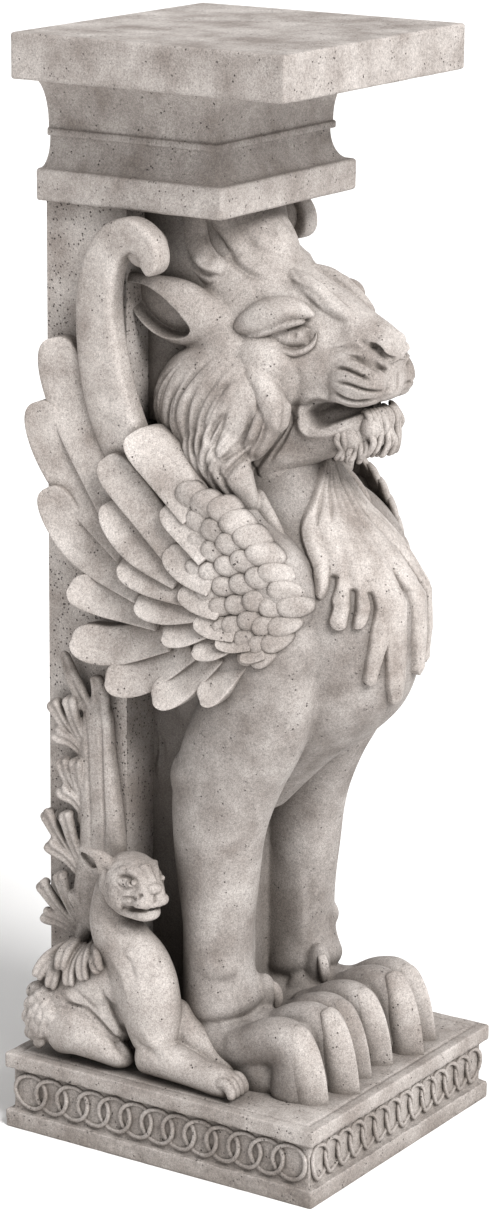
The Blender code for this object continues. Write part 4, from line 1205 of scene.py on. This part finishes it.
def furTufts():
    # Curled tufts of fur on the rump, set round it by the golden angle
    forms = []
    for k in range(20):
        turn, rise = math.radians(137.5 * k), (k + 0.5) / 20
        y, z = 116 + 15 * math.sqrt(rise) * math.cos(turn) * 0.9, 98 + 26 * math.sqrt(rise) * math.sin(turn)
        x = 108 + 18 * math.sqrt(max(0.05, 1 - ((y - 108) / 26) ** 2 - ((z - 94) / 32) ** 2))
        forms.append(tube(((x - 3, y - 3, z + 5), (x + 2, y, z + 1), (x + 1.5, y + 3, z - 4),
                           (x - 1, y + 2, z - 9)), (3.4, 3.8, 3.4, 1), (3.6, 5.4, 4.6, 1), steps=20,
                          sides=14, edge=dished))
    return forms


stem = dict(
    trunk=((85, 356), (86, 335), (86, 310), (84, 285), (82, 256), (81, 226), (84, 196), (92, 160)),
            half=(8, 13, 15, 17, 19, 21, 22, 22),
    levels=(84, 85, 85.5, 86, 86, 86, 87, 88), high=(5, 6.5, 7.5, 8, 8, 8, 9, 9),
    buds=((((92, 338), (101, 352), (108, 367), (114, 385)), (6, 7, 6.5, 4)),
          (((85, 340), (82, 354), (85, 370)), (10, 8, 5))),
    # four fans of curled lobes: the foot they spring from, then their tips
    fans=(
        ((93, 300), ((122, 341), (107, 346), (119, 318))),
        ((94, 250), ((114, 295), (101, 297), (114, 273))),
        ((94, 198), ((129, 250), (111, 252), (126, 226))),
        ((96, 150), ((134, 191), (117, 201), (131, 167), (102, 190))),
    ),
    grooves=((((86, 366), (80, 334), (77, 292), (75, 250), (77, 214)), 1.4, 1.6),
             (((104, 358), (94, 330), (90, 290), (88, 240), (92, 205)), 1.5, 1.0)),
    fringe=(((104, 150), (117, 128)), ((98, 152), (104, 122)), ((90, 154), (86, 128)),
            ((82, 156), (72, 136)), ((74, 156), (58, 146)), ((96, 156), (94, 140))),
)


def dished(v):
    # Round, with a groove down the outer face
    return np.cos(v) * np.where(np.cos(v) > 0, 1 - 0.5 * np.exp(-((np.sin(v) / 0.42) ** 2)), 1), np.sin(v)


def stemForms():
    c = stem
    line = [(x, y, z) for x, (y, z) in zip(c["levels"], c["trunk"])]
    forms = [tube(line, c["high"], c["half"], steps=90, sides=44, corner=3.2)]
    for bud, half in c["buds"]:
        forms.append(tube([(86 + 2 * k, y, z) for k, (y, z) in enumerate(bud)], (5, 5, 4.5, 3)[:len(bud)],
                          half, steps=36, sides=28, ends=0.08, edge=dished))
    for foot, tips in c["fans"]:
        foot = np.asarray(foot, float)
        forms.append(ball((86, foot[0] + 3, foot[1] + 8), (6, 7, 15), 18))
        for k, tip in enumerate(tips):
            tip = np.asarray(tip, float)
            ahead = (tip - foot) / np.hypot(*(tip - foot))
            bend = foot + 0.62 * (tip - foot) + 2.0 * np.array([ahead[1], -ahead[0]]) * (1 if k < 2 else -1)
            start = foot + 0.2 * (tip - foot)
            path = ((86, *start), (90, *bend), (94, *(tip - 3 * ahead)), (94, *tip),
                    (90, *(tip + 1.5 * ahead)), (86, *(tip - ahead)))
            forms.append(tube(path, (5, 5, 5, 4.6, 3.4, 2), (4.0, 5.0, 6.2, 6.8, 5.6, 3.4), steps=50,
                              sides=30, ends=0.06, edge=dished))
    return forms


def fringeForms():
    forms = []
    for start, tip in stem["fringe"]:
        start, tip = np.asarray(start, float), np.asarray(tip, float)
        out = 0.5 * (start + tip) + (0, 3)
        path = ((98, *start), (118, *out), (125, *(0.2 * out + 0.8 * tip)), (121, *tip))
        forms.append(tube(path, (4, 5, 4.5, 3), (5, 6.2, 5.6, 3.4), steps=40, sides=30, ends=0.1,
                          edge=dished))
    return forms


def makeCub():
    piece = makePiece("cub", join(bothSides(cubForms() + furTufts())), smoothStone)
    fuse(piece, cub["cell"], cub["soften"])
    carve(piece, side=cub["lines"])
    heads = makeCubHeads()
    foliage = makePiece("acanthus_stem", join(bothSides(stemForms() + fringeForms())), smoothStone)
    fuse(foliage, 0.8, 2)
    carve(foliage, side=stem["grooves"])
    print("cub and stem fused:", len(piece.data.polygons), len(heads.data.polygons),
          len(foliage.data.polygons), "faces")


makeCub()


# Floor, light and camera

studio = dict(
    floorSize=60.0, floorColour="#F6F5F4", worldStrength=0.58,
    sunFrom=(-0.28, -0.70, 0.66), sunStrength=4.4, sunSpread=28.0,
    cameraAt=(-2.3468, -1.5254, 1.1795), cameraRight=(0.5482, -0.8363, 0.0077),
    cameraUp=(0.2157, 0.1503, 0.9648), cameraBack=(-0.8081, -0.5272, 0.2628),
    focalPixels=3767.8, photoHeight=1214, filmHeight=36.0,
)


def makeStudio():
    s = studio
    floor = bpy.data.meshes.new("floor")
    half = s["floorSize"] / 2
    floor.from_pydata([(-half, -half, 0), (half, -half, 0), (half, half, 0), (-half, half, 0)], [],
                      [(0, 1, 2, 3)])
    paint = bpy.data.materials.new("plain pale floor paint")
    paint.use_nodes = True
    paint.node_tree.nodes["Principled BSDF"].inputs["Base Color"].default_value = linear(s["floorColour"])
    paint.node_tree.nodes["Principled BSDF"].inputs["Roughness"].default_value = 0.9
    floor.materials.append(paint)
    ground = bpy.data.objects.new("floor", floor)
    bpy.context.scene.collection.objects.link(ground)

    world = bpy.data.worlds.new("soft white room")
    bpy.context.scene.world = world
    world.use_nodes = True
    world.node_tree.nodes["Background"].inputs["Color"].default_value = (1, 1, 1, 1)
    world.node_tree.nodes["Background"].inputs["Strength"].default_value = s["worldStrength"]

    lamp = bpy.data.lights.new("large soft lamp", "SUN")
    lamp.energy, lamp.angle = s["sunStrength"], math.radians(s["sunSpread"])
    holder = bpy.data.objects.new("large soft lamp", lamp)
    bpy.context.scene.collection.objects.link(holder)
    holder.rotation_euler = Vector(s["sunFrom"]).to_track_quat("Z", "Y").to_euler()

    camera = bpy.data.cameras.new("photo camera")
    camera.sensor_fit = "VERTICAL"
    camera.sensor_height = s["filmHeight"]
    camera.lens = s["focalPixels"] * s["filmHeight"] / s["photoHeight"]
    camera.clip_end = 50
    stand = bpy.data.objects.new("photo camera", camera)
    bpy.context.scene.collection.objects.link(stand)
    turn = Matrix((s["cameraRight"], s["cameraUp"], s["cameraBack"])).transposed().to_4x4()
    turn.translation = Vector(s["cameraAt"])
    stand.matrix_world = turn
    bpy.context.scene.camera = stand
    bpy.context.scene.view_settings.view_transform = "Standard"
    print("floor, light and camera set")


makeStudio()
